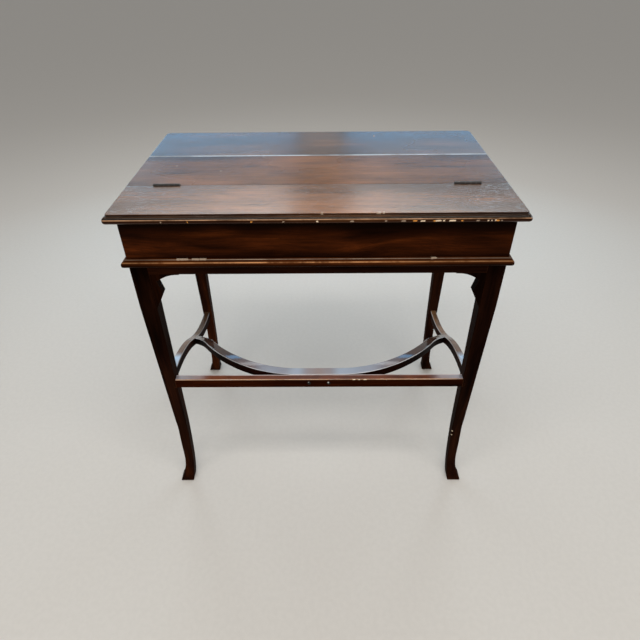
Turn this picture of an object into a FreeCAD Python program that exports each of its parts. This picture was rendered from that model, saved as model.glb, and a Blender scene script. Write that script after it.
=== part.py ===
"""Campaign desk: a shallow case with a hinged lid, on a leg frame tied by a bow stretcher.

The origin is on the floor under the middle of the desk, X runs along the desk and Z is up. The sitter is on
the +Y side. The fixed strip of the top, the hinges and the straight stretcher rail are on the -Y side, the
rear. Sizes are in millimetres and degrees.
"""
import FreeCAD, Part
import math
import os
import re
import Sketcher

DIMENSIONS = {
    # top
    "desk_height": 760,
    "top_width": 747,
    "top_depth": 466,
    "top_thick": 18,
    "field_step": 4.5,
    "field_inset": 6.2,
    "nosing_upper": 6,
    "nosing_lower": 6,
    "lid_corner": 10,
    "strip_corner": 3,
    "strip_depth": 133,
    "middle_depth": 162,
    "seam_gap": 0.8,
    "joint_gap": 0.6,
    "joint_ease": 2.5,
    # case
    "overhang_ends": 18,
    "overhang_sides": 19,
    "case_height": 82,
    "wall_thick": 16,
    "bottom_thick": 6,
    "bottom_lift": 5,
    "groove_depth": 5,
    "panel_play": 0.5,
    "hinge_rail_depth": 28,
    "hinge_rail_height": 30,
    # base moulding
    "moulding_drop": 12,
    "moulding_height": 17,
    "moulding_reach": 9.5,
    "bead_height": 13.5,
    "bead_round": 5.8,
    "lip_reach": 3.5,
    "lip_round": 1.5,
    # legs and aprons
    "leg_width": 34,
    "square_drop": 80,
    "shin_height": 202,
    "shin_width": 24.4,
    "shin_draw": 7,
    "calf_height": 145,
    "calf_width": 23.2,
    "calf_draw": 6.9,
    "ankle_height": 85,
    "ankle_width": 21.9,
    "ankle_draw": 6.1,
    "foot_width": 32.5,
    "foot_kick": 0.15,
    "foot_swell": 0.03,
    "toe_reach_side": 10,
    "toe_reach_back": 14.5,
    "leg_arris": 2,
    "apron_height": 30,
    "apron_thick": 18,
    "tenon_length": 12,
    "tenon_thick": 8,
    "tenon_height": 18,
    "glide_radius": 10,
    "glide_thick": 2,
    # ear brackets
    "ear_drop": 82,
    "notch_reach": 11.5,
    "notch_drop": 16,
    "arch_run": 26,
    "arch_round": 60,
    "ear_flat": 20,
    "ear_edge": 1.5,
    "tip_reach": 19,
    "tip_drop": 45,
    "tip_round": 3,
    # stretchers
    "rail_top": 348,
    "rail_height": 24,
    "rail_thick": 16,
    "rail_setback": 5,
    "stretcher_arris": 3,
    "housing": 8,
    "side_width": 16,
    "side_height": 22,
    "side_shift": 1,
    "ogee_fall": 98,
    "ogee_flat": 5,
    "ogee_straight": 6,
    "bow_width": 22,
    "bow_height": 21,
    "bow_bend_round": 264,
    "bow_slope": 59,
    "bow_straight": 16,
    "bow_return_round": 220,
    "bow_end_slope": 42,
    "bow_end_straight": 10,
    "bow_tenon_length": 8,
    "bow_tenon_width": 8,
    "bow_tenon_height": 10,
    "bow_arris": 2,
    # hinges
    "hinge_inset": 84,
    "hinge_length": 51,
    "leaf_height": 13,
    "leaf_thick": 1.6,
    "barrel_radius": 3,
    "barrel_lift": 0.75,
    "barrel_play": 0.4,
    "knuckle_gap": 0.3,
    "pin_radius": 1.5,
    "pin_play": 0.05,
    "pin_stub": 0.6,
    # battens under the lid
    "batten_width": 40,
    "batten_thick": 14,
    "batten_inset": 172,
    "batten_setback": 18,
    "batten_clearance": 12,
    # fasteners
    "screw_head": 3.5,
    "screw_sink": 3,
    "screw_shank": 1.8,
    "screw_play": 0.05,
    "batten_bite": 9,
    "strip_bite": 10,
    "strip_screw_pitch": 150,
    "apron_bite": 14,
    "apron_screw_pitch": 220,
    "side_screw_pitch": 200,
    "leaf_screw_head": 2.4,
    "leaf_screw_sink": 1.4,
    "leaf_screw_shank": 1.2,
    "leaf_screw_length": 14,
    "leaf_screw_pitch": 17,
    "bolt_head": 4.2,
    "bolt_dome": 2.2,
    "bolt_shank": 2.5,
    "bolt_bite": 14,
    "bolt_spacing": 44,
}

# Waste left round a blank where a second cut gives its final face
WASTE = 30
KNUCKLES = 5
# Lengths that differ by less than this are the same
SAME = 1e-4

# Places that several pieces share
UNDERSIDE = "(desk_height - top_thick)"
SEAM = "(strip_depth - top_depth / 2)"
JOINT = "(strip_depth + middle_depth - top_depth / 2)"
SIDE = "(top_width / 2 - overhang_ends)"
BACK = "(top_depth / 2 - overhang_sides)"
CASE_FOOT = f"({UNDERSIDE} - case_height)"
APRON_FOOT = f"({CASE_FOOT} - apron_height)"
SQUARE_FOOT = f"({APRON_FOOT} - square_drop)"
MOULDING_FOOT = f"({CASE_FOOT} - moulding_drop)"
OGEE_LOW = "(rail_top - ogee_fall)"
RAIL_FRONT = f"(rail_setback - {BACK})"
RAIL_BACK = f"({RAIL_FRONT} + rail_thick)"
SIDE_CENTRE = f"({SIDE} - leg_width / 2 - side_shift)"
SIDE_INNER = f"({SIDE_CENTRE} - side_width / 2)"
AXIS = "(desk_height + barrel_lift)"
HINGE_CENTRE = "(top_width / 2 - hinge_inset)"
BATTEN_CENTRE = "(top_width / 2 - batten_inset)"
BATTEN_FOOT = f"({UNDERSIDE} - batten_thick)"
BATTEN_BACK = f"({SEAM} + batten_setback)"
BATTEN_FRONT = f"({BACK} - wall_thick - batten_clearance)"
HINGE_RAIL_FRONT = f"({SEAM} - seam_gap / 2)"

doc = FreeCAD.newDocument("campaign_desk")
sheet = doc.addObject("Spreadsheet::Sheet", "dims")
for row, (alias, number) in enumerate(DIMENSIONS.items(), start=1):
    sheet.set(f"A{row}", alias)
    sheet.set(f"B{row}", str(number))
    sheet.setAlias(f"B{row}", alias)
doc.recompute()

pieces = {}


def link(text):
    """Turn the dimension names in a formula into references to the sheet."""
    def refer(word):
        return f"dims.{word[0]}" if word[0] in DIMENSIONS else word[0]
    return re.sub(r"[a-z_]{3,}", refer, text)


def value(text):
    """The number that a formula has now."""
    return float(sheet.evalExpression(link(text)))


def bind(thing, **formulas):
    """Bind properties of a document object to formulas."""
    for name, text in formulas.items():
        thing.setExpression(name, link(text))
    return thing


def place(thing, x="0", y="0", z="0"):
    """Bind the position of a document object to three formulas."""
    for axis, text in zip("xyz", (x, y, z)):
        thing.setExpression(f".Placement.Base.{axis}", link(text))
    return thing


def keep(label, thing):
    """Register a finished piece under its name."""
    thing.Label = label
    pieces[label] = thing
    return thing


# Sketches: an outline is a list of corners (x, y) or (x, y, rounding), each a formula

def corner_points(corners, index):
    """Numbers of a corner: its point, its two tangent points, its arc centre and its turn."""
    here, before, after = (FreeCAD.Vector(value(c[0]), value(c[1]), 0)
                           for c in (corners[index], corners[index - 1], corners[(index + 1) % len(corners)]))
    if len(corners[index]) < 3:
        return here, here, here, None, 0
    to_before, to_after = (before - here).normalize(), (after - here).normalize()
    turn = to_before.cross(to_after).z
    half = to_before.getAngle(to_after) / 2
    radius = value(corners[index][2])
    reach = radius / math.tan(half)
    bisector = (to_before + to_after).normalize()
    centre = here + bisector * (reach ** 2 + radius ** 2) ** 0.5
    return here, here + to_before * reach, here + to_after * reach, centre, turn


def pin_point(sketch, shape, position, corner):
    """Hold a sketch point at its corner's two formulas."""
    for kind, text in zip(("DistanceX", "DistanceY"), corner):
        index = sketch.addConstraint(Sketcher.Constraint(kind, -1, 1, shape, position, value(text)))
        sketch.setExpression(f"Constraints[{index}]", link(text))


def draw(sketch, corners):
    """Draw one closed outline of straight sides and rounded corners, fully constrained."""
    count = len(corners)
    points = [corner_points(corners, i) for i in range(count)]
    sides = [sketch.addGeometry(Part.LineSegment(points[i][2], points[(i + 1) % count][1]), False)
             for i in range(count)]
    for i, (here, start, end, centre, turn) in enumerate(points):
        arriving, leaving = sides[i - 1], sides[i]
        if centre is None:
            sketch.addConstraint(Sketcher.Constraint("Coincident", arriving, 2, leaving, 1))
            pin_point(sketch, leaving, 1, corners[i][:2])
            continue
        # An arc is drawn anticlockwise, so its ends swap where the outline turns the other way
        first, last = (end, start) if turn > 0 else (start, end)
        circle = Part.Circle(centre, FreeCAD.Vector(0, 0, 1), (first - centre).Length)
        span = circle.parameter(first), circle.parameter(last)
        arc = sketch.addGeometry(Part.ArcOfCircle(circle, *span), False)
        begins, ends = (2, 1) if turn > 0 else (1, 2)
        sketch.addConstraint(Sketcher.Constraint("Tangent", arriving, 2, arc, begins))
        sketch.addConstraint(Sketcher.Constraint("Tangent", arc, ends, leaving, 1))
        radius = sketch.addConstraint(Sketcher.Constraint("Radius", arc, circle.Radius))
        sketch.setExpression(f"Constraints[{radius}]", link(corners[i][2]))
        vertex = sketch.addGeometry(Part.Point(here), True)
        sketch.addConstraint(Sketcher.Constraint("PointOnObject", vertex, 1, arriving))
        sketch.addConstraint(Sketcher.Constraint("PointOnObject", vertex, 1, leaving))
        pin_point(sketch, vertex, 1, corners[i][:2])


def sketch_on(body, role, outlines, lift="0"):
    """Attach a sketch of closed outlines to one of the body's own planes, lifted along its normal."""
    sketch = body.newObject("Sketcher::SketchObject", f"{body.Name}_sketch")
    support = next(feature for feature in body.Origin.OriginFeatures if feature.Role == role)
    sketch.AttachmentSupport = [(support, "")]
    sketch.MapMode = "FlatFace"
    sketch.setExpression(".AttachmentOffset.Base.z", link(lift))
    for corners in outlines:
        draw(sketch, corners)
    doc.recompute()
    return sketch


def new_body(name):
    """Start an empty PartDesign body."""
    return doc.addObject("PartDesign::Body", f"{name}_body")


def pad(body, sketch, length, symmetric=False):
    """Pad a sketch along its normal, or equally to both sides of it."""
    feature = body.newObject("PartDesign::Pad", f"{body.Name}_pad")
    feature.Profile = sketch
    feature.SideType = "Symmetric" if symmetric else "One side"
    bind(feature, Length=length)
    doc.recompute()
    return feature


def saw(body, sketch, symmetric=False):
    """Cut a sketch right through the body, along its normal or to both sides of it."""
    before = body.Shape.Volume
    feature = body.newObject("PartDesign::Pocket", f"{body.Name}_saw")
    feature.Profile = sketch
    feature.Type = "ThroughAll"
    feature.SideType = "Symmetric" if symmetric else "One side"
    feature.Reversed = not symmetric
    doc.recompute()
    if not body.Shape.Volume < before:
        raise RuntimeError(f"{body.Name}: the saw cut took nothing away")
    return feature


def ease(body, radius, chosen):
    """Round the edges of the body that a test chooses."""
    base = body.Tip
    names = [f"Edge{i}" for i, edge in enumerate(base.Shape.Edges, start=1) if chosen(edge)]
    feature = body.newObject("PartDesign::Fillet", f"{body.Name}_ease")
    feature.Base = (base, names)
    bind(feature, Radius=radius)
    doc.recompute()
    return feature


def middle(edge):
    """The point halfway along an edge."""
    return edge.valueAt((edge.FirstParameter + edge.LastParameter) / 2)


def near(number, text):
    """Whether a number agrees with a formula."""
    return abs(number - value(text)) < SAME


def box(name, size, corner):
    """A plain block with its length, width, height and lowest corner as formulas."""
    block = doc.addObject("Part::Box", name)
    bind(block, Length=size[0], Width=size[1], Height=size[2])
    return place(block, *corner)


def cylinder_along_x(name, radius, length, start):
    """A round bar along X from a start point."""
    bar = doc.addObject("Part::Cylinder", name)
    bar.Placement.Rotation = FreeCAD.Rotation(FreeCAD.Vector(0, 1, 0), 90)
    bind(bar, Radius=radius, Height=length)
    return place(bar, *start)


def cut(name, base, *tools):
    """A piece with tools taken out of it, one after the other."""
    for number, tool in enumerate(tools, start=1):
        result = doc.addObject("Part::Cut", f"{name}_cut{number}")
        result.Base, result.Tool = base, tool
        base = result
    doc.recompute()
    return base


def fuse(name, *shapes):
    """Several shapes glued into one piece."""
    result = doc.addObject("Part::MultiFuse", name)
    result.Shapes = list(shapes)
    doc.recompute()
    return result


def mirror(name, source, normal):
    """A piece mirrored in a plane through the origin."""
    copy = doc.addObject("Part::Mirroring", name)
    copy.Source = source
    copy.Normal = normal
    doc.recompute()
    return copy


ACROSS = FreeCAD.Vector(1, 0, 0)
FORE_AND_AFT = FreeCAD.Vector(0, 1, 0)

# Fasteners

UPWARD = FreeCAD.Rotation()
FORWARD = FreeCAD.Rotation(ACROSS, -90)
REARWARD = FreeCAD.Rotation(ACROSS, 90)


def turned(name, corners):
    """A small turned piece: a half section (radius, height) spun about Z."""
    body = new_body(name)
    sketch = sketch_on(body, "XZ_Plane", [corners])
    spin = body.newObject("PartDesign::Revolution", f"{name}_spin")
    spin.Profile = sketch
    axis = next(feature for feature in body.Origin.OriginFeatures if feature.Role == "Z_Axis")
    spin.ReferenceAxis = (axis, [""])
    spin.Angle = 360
    doc.recompute()
    return body


def screw_pair(name, head, sink, shank, length):
    """A countersunk screw that points up from its flush head, and the bore that takes it."""
    screw = turned(name, [("0", "0"), (head, "0"), (shank, sink),
                          (shank, f"{length} - {shank}"), ("0", length)])
    wide, narrow = f"{head} + screw_play", f"{shank} + screw_play"
    bore = turned(f"{name}_bore", [("0", f"-{sink}"), (wide, f"-{sink}"), (wide, "0"), (narrow, sink),
                                   (narrow, f"{length} + screw_play"), ("0", f"{length} + screw_play")])
    return screw, bore


def scatter(name, master, places, rotation):
    """Separate copies of a fastener at a list of places, as one group."""
    copies = []
    for number, spot in enumerate(places, start=1):
        copy = doc.addObject("App::Link", f"{name}_{number}")
        copy.LinkedObject = master
        copy.LinkTransform = False
        copy.Placement.Rotation = rotation
        copies.append(place(copy, *spot))
    group = doc.addObject("Part::Compound", name)
    group.Links = copies
    doc.recompute()
    return group


def fasten(label, pair, places, rotation):
    """Place a group of screws as a piece, and return the group of their bores."""
    keep(label, scatter(label, pair[0], places, rotation))
    return scatter(f"{label}_bores", pair[1], places, rotation)


WOOD_SCREW = ("screw_head", "screw_sink", "screw_shank")
BATTEN_SCREW = screw_pair("batten_screw", *WOOD_SCREW, "(batten_thick + batten_bite)")
STRIP_SCREW = screw_pair("strip_screw", *WOOD_SCREW, "(hinge_rail_height + strip_bite)")
APRON_SCREW = screw_pair("apron_screw", *WOOD_SCREW, "(apron_height + apron_bite)")
LEAF_SCREW = screw_pair("leaf_screw", "leaf_screw_head", "leaf_screw_sink", "leaf_screw_shank",
                        "leaf_screw_length")

# Screws sit halfway across the case walls, the battens and the hinge rail
WALL_MIDDLE = "wall_thick / 2"
apron_places = [(f"{n} * apron_screw_pitch", f"{s} * ({BACK} - {WALL_MIDDLE})", APRON_FOOT)
                for s in (-1, 1) for n in (-1, 0, 1)]
apron_places += [(f"{s} * ({SIDE} - {WALL_MIDDLE})", f"{n} * side_screw_pitch / 2", APRON_FOOT)
                 for s in (-1, 1) for n in (-1, 1)]
apron_bores = fasten("apron_screws", APRON_SCREW, apron_places, UPWARD)

HINGE_RAIL_FOOT = f"({UNDERSIDE} - hinge_rail_height)"
HINGE_RAIL_MIDDLE = f"({HINGE_RAIL_FRONT} - hinge_rail_depth / 2)"
strip_places = [(f"{n} * strip_screw_pitch", HINGE_RAIL_MIDDLE, HINGE_RAIL_FOOT)
                for n in (-1.5, -0.5, 0.5, 1.5)]
strip_bores = fasten("strip_screws", STRIP_SCREW, strip_places, UPWARD)

batten_rows = [f"({BATTEN_BACK} + batten_width / 2)", f"({JOINT} - batten_width / 2)",
               f"({JOINT} + batten_width / 2)", f"({BATTEN_FRONT} - batten_width / 2)"]
batten_places = [(f"{s} * {BATTEN_CENTRE}", y, BATTEN_FOOT) for s in (-1, 1) for y in batten_rows]
batten_bores = fasten("batten_screws", BATTEN_SCREW, batten_places, UPWARD)

leaf_spots = [(f"{s} * {HINGE_CENTRE} + {n} * leaf_screw_pitch", "desk_height - leaf_height / 2")
              for s in (-1, 1) for n in (-1, 0, 1)]
fixed_bores = fasten("hinge_fixed_screws", LEAF_SCREW,
                     [(x, f"{SEAM} - seam_gap / 2", z) for x, z in leaf_spots], REARWARD)
lid_bores = fasten("hinge_lid_screws", LEAF_SCREW,
                   [(x, f"{SEAM} + seam_gap / 2", z) for x, z in leaf_spots], FORWARD)

# Top boards: a nosed slab with a raised field, moulded on the outer sides only

def top_board(name, rear, front, rear_corner=None, front_corner=None):
    """A board of the top between two Y formulas; a side with a corner rounding is a moulded outer side."""
    def plan(inset):
        ends = f"(top_width / 2 - {inset})"
        low = f"({rear} + {inset})" if rear_corner else rear
        high = f"({front} - {inset})" if front_corner else front
        rear_round = (rear_corner,) if rear_corner else ()
        front_round = (front_corner,) if front_corner else ()
        return [(f"-{ends}", low) + rear_round, (ends, low) + rear_round,
                (ends, high) + front_round, (f"-{ends}", high) + front_round]

    def moulded(edge):
        point = middle(edge)
        inner = (not rear_corner and near(point.y, rear)) or (not front_corner and near(point.y, front))
        return edge.BoundBox.ZLength < SAME and not inner

    body = new_body(name)
    pad(body, sketch_on(body, "XY_Plane", [plan("0")], UNDERSIDE), "top_thick - field_step")
    ease(body, "nosing_lower", lambda edge: moulded(edge) and near(middle(edge).z, UNDERSIDE))
    step = "desk_height - field_step"
    ease(body, "nosing_upper", lambda edge: moulded(edge) and near(middle(edge).z, step))
    pad(body, sketch_on(body, "XY_Plane", [plan("field_inset")], step), "field_step")
    return body


def eased_joint(body, y):
    """Ease the upper arris of a board along an open joint."""
    ease(body, "joint_ease", lambda edge: near(middle(edge).z, "desk_height") and near(middle(edge).y, y))
    return body


BARREL_ROOM = "(barrel_radius + barrel_play)"
STUB_ROOM = "(pin_stub + barrel_play)"


def leaf_seat(name, face, side):
    """The pair of shallow recesses in a board's edge that take the hinge leaves, coved for the barrels."""
    start = f"{face} - leaf_thick" if side < 0 else face
    seats = []
    for n, s in enumerate((-1, 1), start=1):
        left = f"({s} * {HINGE_CENTRE} - hinge_length / 2)"
        seats.append(box(f"{name}_seat{n}", ("hinge_length", "leaf_thick", "leaf_height + field_step"),
                         (left, start, "desk_height - leaf_height")))
        seats.append(cylinder_along_x(f"{name}_cove{n}", BARREL_ROOM, f"hinge_length + 2 * {STUB_ROOM}",
                                      (f"{left} - {STUB_ROOM}", SEAM, AXIS)))
    return fuse(f"{name}_seats", *seats)


STRIP_FRONT = f"({SEAM} - seam_gap / 2)"
LID_BACK = f"({SEAM} + seam_gap / 2)"
MIDDLE_FRONT = f"({JOINT} - joint_gap / 2)"
FRONT_BACK = f"({JOINT} + joint_gap / 2)"

strip = top_board("rear_top_board", "(-top_depth / 2)", STRIP_FRONT, rear_corner="strip_corner")
strip_seats = leaf_seat("strip", STRIP_FRONT, -1)
keep("rear_top_board", cut("rear_top_board", strip, strip_seats, fixed_bores, strip_bores))
lid_middle = eased_joint(top_board("lid_middle_board", LID_BACK, MIDDLE_FRONT), MIDDLE_FRONT)
lid_seats = leaf_seat("lid", LID_BACK, 1)
keep("lid_middle_board", cut("lid_middle_board", lid_middle, lid_seats, lid_bores, batten_bores))
lid_front = top_board("lid_front_board", FRONT_BACK, "(top_depth / 2)", front_corner="lid_corner")
keep("lid_front_board", cut("lid_front_board", eased_joint(lid_front, FRONT_BACK), batten_bores))

for side, sign in (("left", -1), ("right", 1)):
    batten = box(f"{side}_batten", ("batten_width", f"{BATTEN_FRONT} - {BATTEN_BACK}", "batten_thick"),
                 (f"{sign} * {BATTEN_CENTRE} - batten_width / 2", BATTEN_BACK, BATTEN_FOOT))
    keep(f"{side}_batten", cut(f"{side}_batten", batten, batten_bores))

# Hinges: two leaves let into the seam, with knuckles that stand half proud of the top

PITCH = f"((hinge_length + knuckle_gap) / {KNUCKLES})"


def leaf(name, face, side, own):
    """A hinge leaf at the left hinge: a plate in a board's edge, its knuckles and room for the others."""
    start = f"{face} - leaf_thick" if side < 0 else face
    left = f"(-{HINGE_CENTRE} - hinge_length / 2)"
    parts = [box(f"{name}_plate", ("hinge_length", "leaf_thick", "leaf_height"),
                 (left, start, "desk_height - leaf_height"))]
    rooms = []
    for number in range(KNUCKLES):
        x = f"{left} + {number} * {PITCH}"
        if number in own:
            length = f"{PITCH} - knuckle_gap"
            parts.append(cylinder_along_x(f"{name}_knuckle{number}", "barrel_radius", length, (x, SEAM, AXIS)))
        else:
            rooms.append(cylinder_along_x(f"{name}_room{number}", BARREL_ROOM, f"{PITCH} + knuckle_gap",
                                          (f"{x} - knuckle_gap", SEAM, AXIS)))
    bore = cylinder_along_x(f"{name}_bore", "pin_radius + pin_play", "hinge_length", (left, SEAM, AXIS))
    bores = fixed_bores if side < 0 else lid_bores
    return cut(name, fuse(f"{name}_blank", *parts), bore, bores, *rooms)


fixed_leaf = keep("left_hinge_fixed_leaf", leaf("fixed_leaf", STRIP_FRONT, -1, range(0, KNUCKLES, 2)))
lid_leaf = keep("left_hinge_lid_leaf", leaf("lid_leaf", LID_BACK, 1, range(1, KNUCKLES, 2)))
pin = keep("left_hinge_pin", cylinder_along_x("hinge_pin", "pin_radius", "hinge_length + 2 * pin_stub",
                                              (f"-{HINGE_CENTRE} - hinge_length / 2 - pin_stub", SEAM, AXIS)))
keep("right_hinge_fixed_leaf", mirror("right_fixed_leaf", fixed_leaf, ACROSS))
keep("right_hinge_lid_leaf", mirror("right_lid_leaf", lid_leaf, ACROSS))
keep("right_hinge_pin", mirror("right_pin", pin, ACROSS))

# Case and base moulding: strips of one section, mitred at the corners

def mitred_strip(name, side, section, inward, outward):
    """A rear or left strip of a section (outward from the case face, height), mitred at both ends."""
    along, across = (SIDE, BACK) if side == "rear" else (BACK, SIDE)
    body = new_body(name)
    corners = [(f"-({across} + {c[0]})",) + tuple(c[1:]) for c in section]
    plane = "YZ_Plane" if side == "rear" else "XZ_Plane"
    pad(body, sketch_on(body, plane, [corners]), f"2 * ({along} + {outward})", symmetric=True)
    ends = []
    for sign in ("-1", "1"):
        tip, root = f"({along} + {outward} + {WASTE})", f"({along} - {inward} - {WASTE})"
        outer, inner = f"-({across} + {outward} + {WASTE})", f"-({across} - {inward} - {WASTE})"
        triangle = [(f"{sign} * {tip}", outer), (f"{sign} * {root}", inner), (f"{sign} * {tip}", inner)]
        ends.append(triangle if side == "rear" else [(y, x) for x, y in triangle])
    saw(body, sketch_on(body, "XY_Plane", ends))
    return body


def frame_of_four(name, section, inward, outward, bores=None):
    """The rear and left strips of a mitred frame, with the front and right ones as their mirror images."""
    for side, other, normal in (("rear", "front", FORE_AND_AFT), ("left", "right", ACROSS)):
        strip_body = mitred_strip(f"{side}_{name}", side, section, inward, outward)
        finished = cut(f"{side}_{name}", strip_body, bores) if bores else strip_body
        keep(f"{side}_{name}", finished)
        keep(f"{other}_{name}", mirror(f"{other}_{name}", finished, normal))


PANEL_FOOT = f"({CASE_FOOT} + bottom_lift)"
PANEL_TOP = f"({PANEL_FOOT} + bottom_thick)"
wall_section = [
    ("0", CASE_FOOT), ("0", UNDERSIDE), ("-wall_thick", UNDERSIDE),
    ("-wall_thick", PANEL_TOP), ("groove_depth - wall_thick", PANEL_TOP),
    ("groove_depth - wall_thick", PANEL_FOOT), ("-wall_thick", PANEL_FOOT), ("-wall_thick", CASE_FOOT),
]
frame_of_four("wall", wall_section, "wall_thick", "0", apron_bores)

BEAD_TOP = f"({MOULDING_FOOT} + bead_height)"
MOULDING_TOP = f"({MOULDING_FOOT} + moulding_height)"
moulding_section = [
    ("0", MOULDING_FOOT), ("moulding_reach", MOULDING_FOOT, "bead_round"),
    ("moulding_reach", BEAD_TOP, "bead_round"), ("lip_reach", BEAD_TOP),
    ("lip_reach", MOULDING_TOP, "lip_round"), ("0", MOULDING_TOP),
]
frame_of_four("moulding", moulding_section, "0", "moulding_reach")

PANEL_INSET = "(wall_thick - groove_depth + panel_play)"
keep("case_bottom", box("case_bottom", (f"2 * ({SIDE} - {PANEL_INSET})", f"2 * ({BACK} - {PANEL_INSET})",
                                        "bottom_thick"),
                        (f"{PANEL_INSET} - {SIDE}", f"{PANEL_INSET} - {BACK}", PANEL_FOOT)))
hinge_rail = box("hinge_rail", (f"2 * ({SIDE} - wall_thick)", "hinge_rail_depth", "hinge_rail_height"),
                 (f"wall_thick - {SIDE}", f"{HINGE_RAIL_FRONT} - hinge_rail_depth", HINGE_RAIL_FOOT))
keep("hinge_rail", cut("hinge_rail", hinge_rail, strip_bores))

# Stretchers

# The ogee is two equal arcs between its level ends, with a short straight slope between them
OGEE_SPAN = f"({BACK} - leg_width + housing - ogee_flat)"
OGEE_REACH = f"(({OGEE_SPAN} ^ 2 - ogee_fall ^ 2 / 4) / 2 / {OGEE_SPAN})"
OGEE_ROUND = f"(({OGEE_SPAN} - {OGEE_REACH} - ogee_straight) * 2 * {OGEE_SPAN} / ogee_fall)"
OGEE_SLOPE = f"(ogee_fall / 2 / {OGEE_REACH})"


def ogee_run(start, end, drop):
    """The S-curve of the stretchers' top from rear to front, lowered by a drop, as open corners."""
    high, low = f"rail_top - {drop}", f"{OGEE_LOW} - {drop}"
    return [(start, high), (f"-{OGEE_REACH}", high, OGEE_ROUND),
            (OGEE_REACH, low, OGEE_ROUND), (end, low)]


def straight_rail():
    """The straight rear rail, with its upper arrises rounded and its ends let into the legs."""
    body = new_body("stretcher_rail")
    foot = "(rail_top - rail_height)"
    section = [(RAIL_FRONT, foot), (RAIL_FRONT, "rail_top", "stretcher_arris"),
               (RAIL_BACK, "rail_top", "lip_round"), (RAIL_BACK, foot)]
    length = f"2 * ({SIDE} - leg_width + housing)"
    pad(body, sketch_on(body, "YZ_Plane", [section]), length, symmetric=True)
    return body


def side_stretcher(name, side):
    """A stretcher on the left, -1, or right, 1, sawn to an ogee between two legs and let into both."""
    body = new_body(name)
    end = f"({BACK} - leg_width + housing)"
    outline = ogee_run(f"-{end}", end, "0") + ogee_run(f"-{end}", end, "side_height")[::-1]
    sketch = sketch_on(body, "YZ_Plane", [outline], f"{side} * {SIDE_CENTRE} - side_width / 2")
    pad(body, sketch, "side_width")

    ease(body, "stretcher_arris", lambda edge: on_ogee(edge) and edge.BoundBox.XLength < SAME)
    return body


def ogee_height(y):
    """The height of the stretchers' top at a depth: level, an arc, a slope, an arc and level again."""
    high, low, radius, slope = (value(text) for text in ("rail_top", OGEE_LOW, OGEE_ROUND, OGEE_SLOPE))
    arc_end = value(f"{OGEE_SPAN} - ogee_straight")
    arc_start = arc_end - radius * math.sin(math.atan(slope))
    if abs(y) < arc_start:
        return (high + low) / 2 - y * slope
    sag = radius - (radius ** 2 - max(arc_end - abs(y), 0) ** 2) ** 0.5
    return high - sag if y < 0 else low + sag


def on_ogee(edge):
    """Whether an edge lies on the stretchers' top."""
    point = middle(edge)
    return abs(point.z - ogee_height(point.y)) < SAME


def bow_edge(side, reach):
    """Corners of one edge of the bow, from its middle to a reach on the left: side +1 is the knee side."""
    half = f"({side} * bow_width / 2)"
    middle_y = f"({RAIL_BACK} + bow_width / 2)"
    turn_back = "(bow_return_round * tan((bow_slope - bow_end_slope) * 1deg / 2))"
    run = f"(bow_bend_round * tan(bow_slope * 1deg / 2) + bow_straight + {turn_back})"
    end_run = f"({turn_back} + bow_end_straight)"
    bend_reach = f"({SIDE_INNER} - {end_run} * cos(bow_end_slope * 1deg) - {run} * cos(bow_slope * 1deg))"
    bend = (f"(-{bend_reach} + {half} * tan(bow_slope * 1deg / 2))", f"({middle_y} + {half})",
            f"bow_bend_round - {half}")
    mean = "((bow_slope + bow_end_slope) * 1deg / 2)"
    spread = "cos((bow_slope - bow_end_slope) * 1deg / 2)"
    back_x = f"(-{bend_reach} - {run} * cos(bow_slope * 1deg) + {half} * sin{mean} / {spread})"
    back_y = f"({middle_y} + {run} * sin(bow_slope * 1deg) + {half} * cos{mean} / {spread})"
    end_y = f"({back_y} + ({back_x} + {reach}) * tan(bow_end_slope * 1deg))"
    return [bend, (back_x, back_y, f"bow_return_round + {half}"), (f"-{reach}", end_y)]


def bow_tenon(side):
    """A block across the bow's end on the left, -1, or right, 1: half is its tenon, half is in the bow."""
    y = f"(({bow_edge(1, SIDE_INNER)[-1][1]} + {bow_edge(-1, SIDE_INNER)[-1][1]}) / 2)"
    z = f"(rail_top - ogee_fall / 2 - {y} * {OGEE_SLOPE} - bow_height / 2)"
    return box(f"bow_tenon{side}", ("2 * bow_tenon_length", "bow_tenon_width", "bow_tenon_height"),
               (f"{side} * {SIDE_INNER} - bow_tenon_length",
                f"{y} - bow_tenon_width / 2", f"{z} - bow_tenon_height / 2"))


def bow():
    """The bow: sawn in plan from a long blank, then to the sides' ogee, eased, and cut to length."""
    body = new_body("bow_stretcher")
    long_end = f"({SIDE_INNER} + {WASTE})"
    knee_edge, rear_edge = bow_edge(1, long_end), bow_edge(-1, long_end)
    outline = knee_edge + rear_edge[::-1]
    outline += [(f"-({c[0]})",) + tuple(c[1:]) for c in rear_edge + knee_edge[::-1]]
    floor = f"({OGEE_LOW} - bow_height - {WASTE})"
    pad(body, sketch_on(body, "XY_Plane", [outline], floor), f"rail_top + {WASTE} - {floor}")
    end = f"({BACK} + {WASTE})"
    sky, ground = f"(rail_top + {2 * WASTE})", f"({floor} - {WASTE})"
    above = ogee_run(f"-{end}", end, "0") + [(end, sky), (f"-{end}", sky)]
    below = ogee_run(f"-{end}", end, "bow_height") + [(end, ground), (f"-{end}", ground)]
    saw(body, sketch_on(body, "YZ_Plane", [above, below]), symmetric=True)

    def upper_arris(edge):
        flat = near(middle(edge).y, RAIL_BACK) or near(middle(edge).y, f"{RAIL_BACK} + bow_width")
        return on_ogee(edge) and edge.BoundBox.XLength > SAME and (flat or edge.BoundBox.YLength > SAME)
    ease(body, "bow_arris", upper_arris)
    far = f"({long_end} + {WASTE})"
    ends = [[(f"{s} * {SIDE_INNER}", f"-{end}"), (f"{s} * {far}", f"-{end}"),
             (f"{s} * {far}", end), (f"{s} * {SIDE_INNER}", end)] for s in (-1, 1)]
    saw(body, sketch_on(body, "XY_Plane", ends))
    return body


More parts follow.
